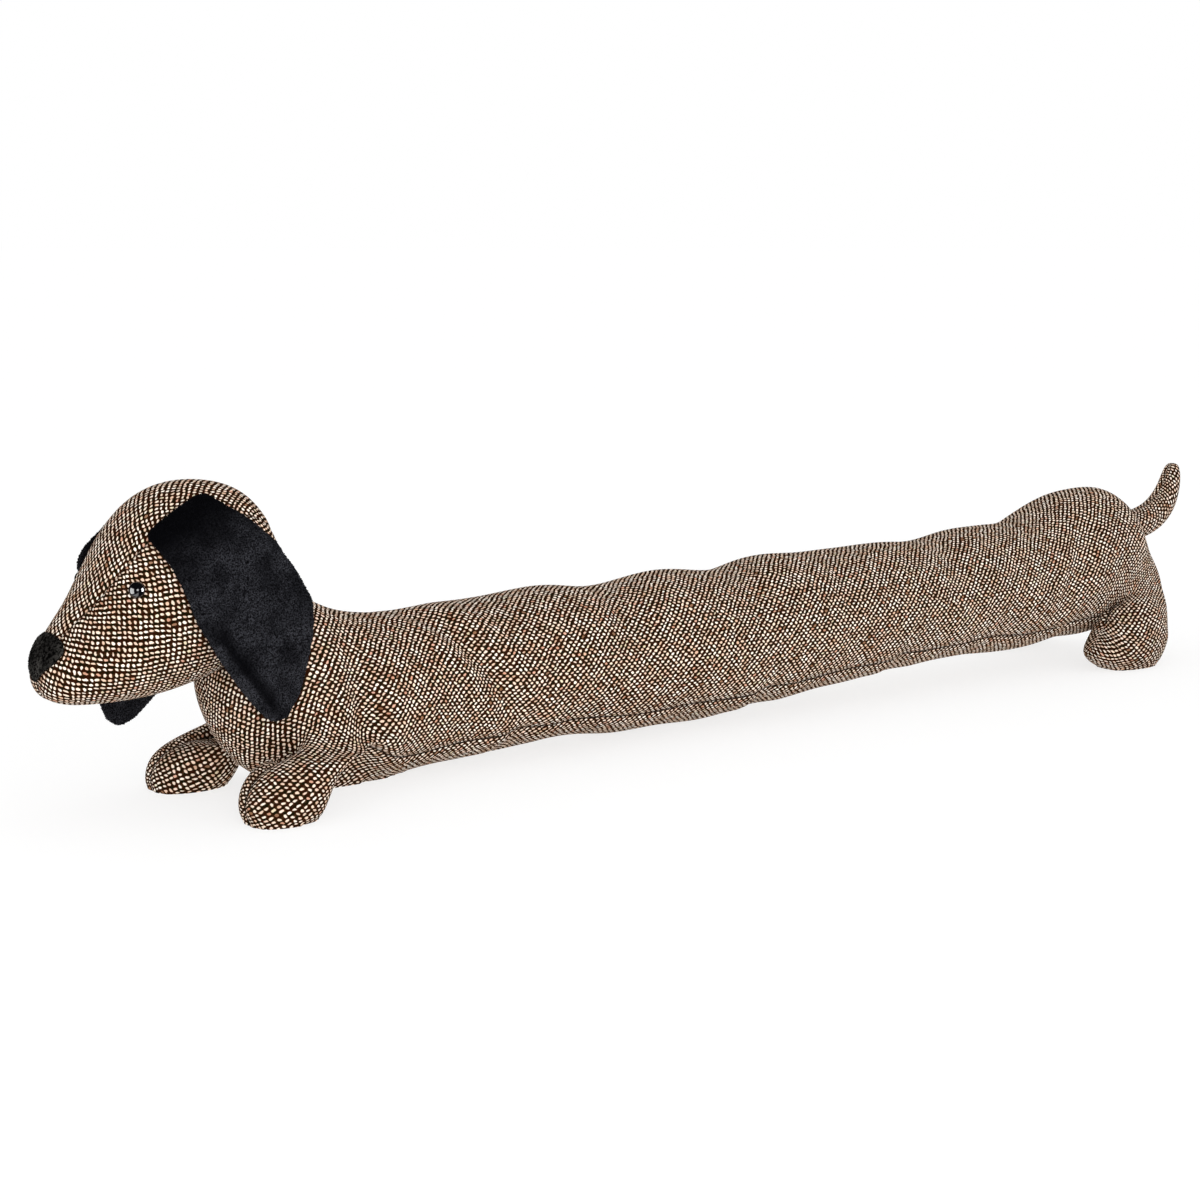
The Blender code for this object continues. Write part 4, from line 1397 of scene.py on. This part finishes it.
# %% Bead
def bead(recipe):
    """The eyes' polished black, with a little dust."""
    dust = recipe.noise(recipe.node("ShaderNodeTexCoord", output=3), 1500.0, 3.0,
                        dimensions="3D")
    return {"Base_Color": (0.003, 0.003, 0.004), "Specular_IOR_Level": 1.0,
            "Roughness": 0.04 + 0.05 * recipe.step(dust, 0.5, 0.8)}


for piece in eyes:
    finish(piece, piece.name + "_finish", bead)

# %% [markdown]
# ## Floor and light
# A plain white floor that glows a little, and soft light from a white sky that is
# somewhat darker overhead. Two weak softboxes, one beyond the tail and one in front of
# the head, give the cloth its relief. Three more lights show in gloss only and make the
# glints in the eyes. The floor and the sky don't show in gloss, so the rest of a bead
# stays black.

# %% Studio
AIM = (0.0, 0.0, 0.05)


def softbox(name, place, size, power, gloss_only=False):
    """A square light that looks at the dog, or only shows in what is glossy."""
    data = bpy.data.lights.new(name, "AREA")
    data.shape = "SQUARE"
    data.size = size
    data.energy = power
    made = add_object(name, data)
    made.location = place
    made.rotation_euler = (Vector(AIM) - Vector(place)).to_track_quat("-Z", "Y").to_euler()
    made.visible_diffuse = not gloss_only
    made.visible_camera = False


softbox("softbox_right", (2.93, -2.57, 0.48), 0.95, 6.0)
softbox("softbox_front", (-0.8, -1.3, 0.38), 0.6, 6.2)
softbox("glint_left", (-2.39, 0.27, -0.1), 2.3, 105.0, gloss_only=True)
softbox("glint_right", (1.18, -1.25, 0.24), 1.15, 95.0, gloss_only=True)
softbox("glint_below", (-0.435, -0.08, 0.001), 0.16, 0.13, gloss_only=True)

FLOOR_REACH = 60
floor_mesh = bpy.data.meshes.new("floor")
corners = [(x * FLOOR_REACH, y * FLOOR_REACH, 0)
           for x, y in ((-1, -1), (1, -1), (1, 1), (-1, 1))]
floor_mesh.from_pydata(corners, [], [(0, 1, 2, 3)])
floor = add_object("floor", floor_mesh)
finish(floor, "floor_finish", lambda recipe: {
    "Base_Color": (0.28, 0.28, 0.28), "Roughness": 0.9, "Specular_IOR_Level": 0.0,
    "Emission_Color": (1.0, 1.0, 1.0), "Emission_Strength": 0.76})
floor.visible_glossy = False

world = bpy.data.worlds.new("studio")
world.use_nodes = True
sky = Recipe(world.node_tree)
upward = sky.parts(sky.node("ShaderNodeTexCoord"))[2]
strength = sky.node("ShaderNodeMapRange", Value=upward, From_Min=0.15, From_Max=1.0,
                    To_Min=1.0, To_Max=0.78)
background = world.node_tree.nodes["Background"].inputs
sky.put(background["Color"], (1.0, 1.0, 1.0))
sky.put(background["Strength"], strength)
world.cycles_visibility.glossy = False
bpy.context.scene.world = world
bpy.context.scene.view_settings.view_transform = "Standard"
print("studio is lit")

# %% [markdown]
# ## Fitting the pieces to the frame
# Every piece rides on the one body, and each piece that stands for a solid hides it.

# %% Fit
for piece, node, slot, fill in ((trunk, "trunk", "tweed", 0.8), (head, "head", "tweed", 0.9),
                                (tail, "tail", "tweed", 0.8), (nose, "nose", "plush", 0.6)):
    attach(piece, BODY)
    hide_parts(node)
for piece, node in zip(eyes, ("eye_left", "eye_right")):
    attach(piece, BODY)
    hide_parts(node)
for pile in piles:
    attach(pile, BODY)
for piece, pile, node in zip(ears, piles, ("ear_left", "ear_right")):
    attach(piece, BODY)
    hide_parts(node)
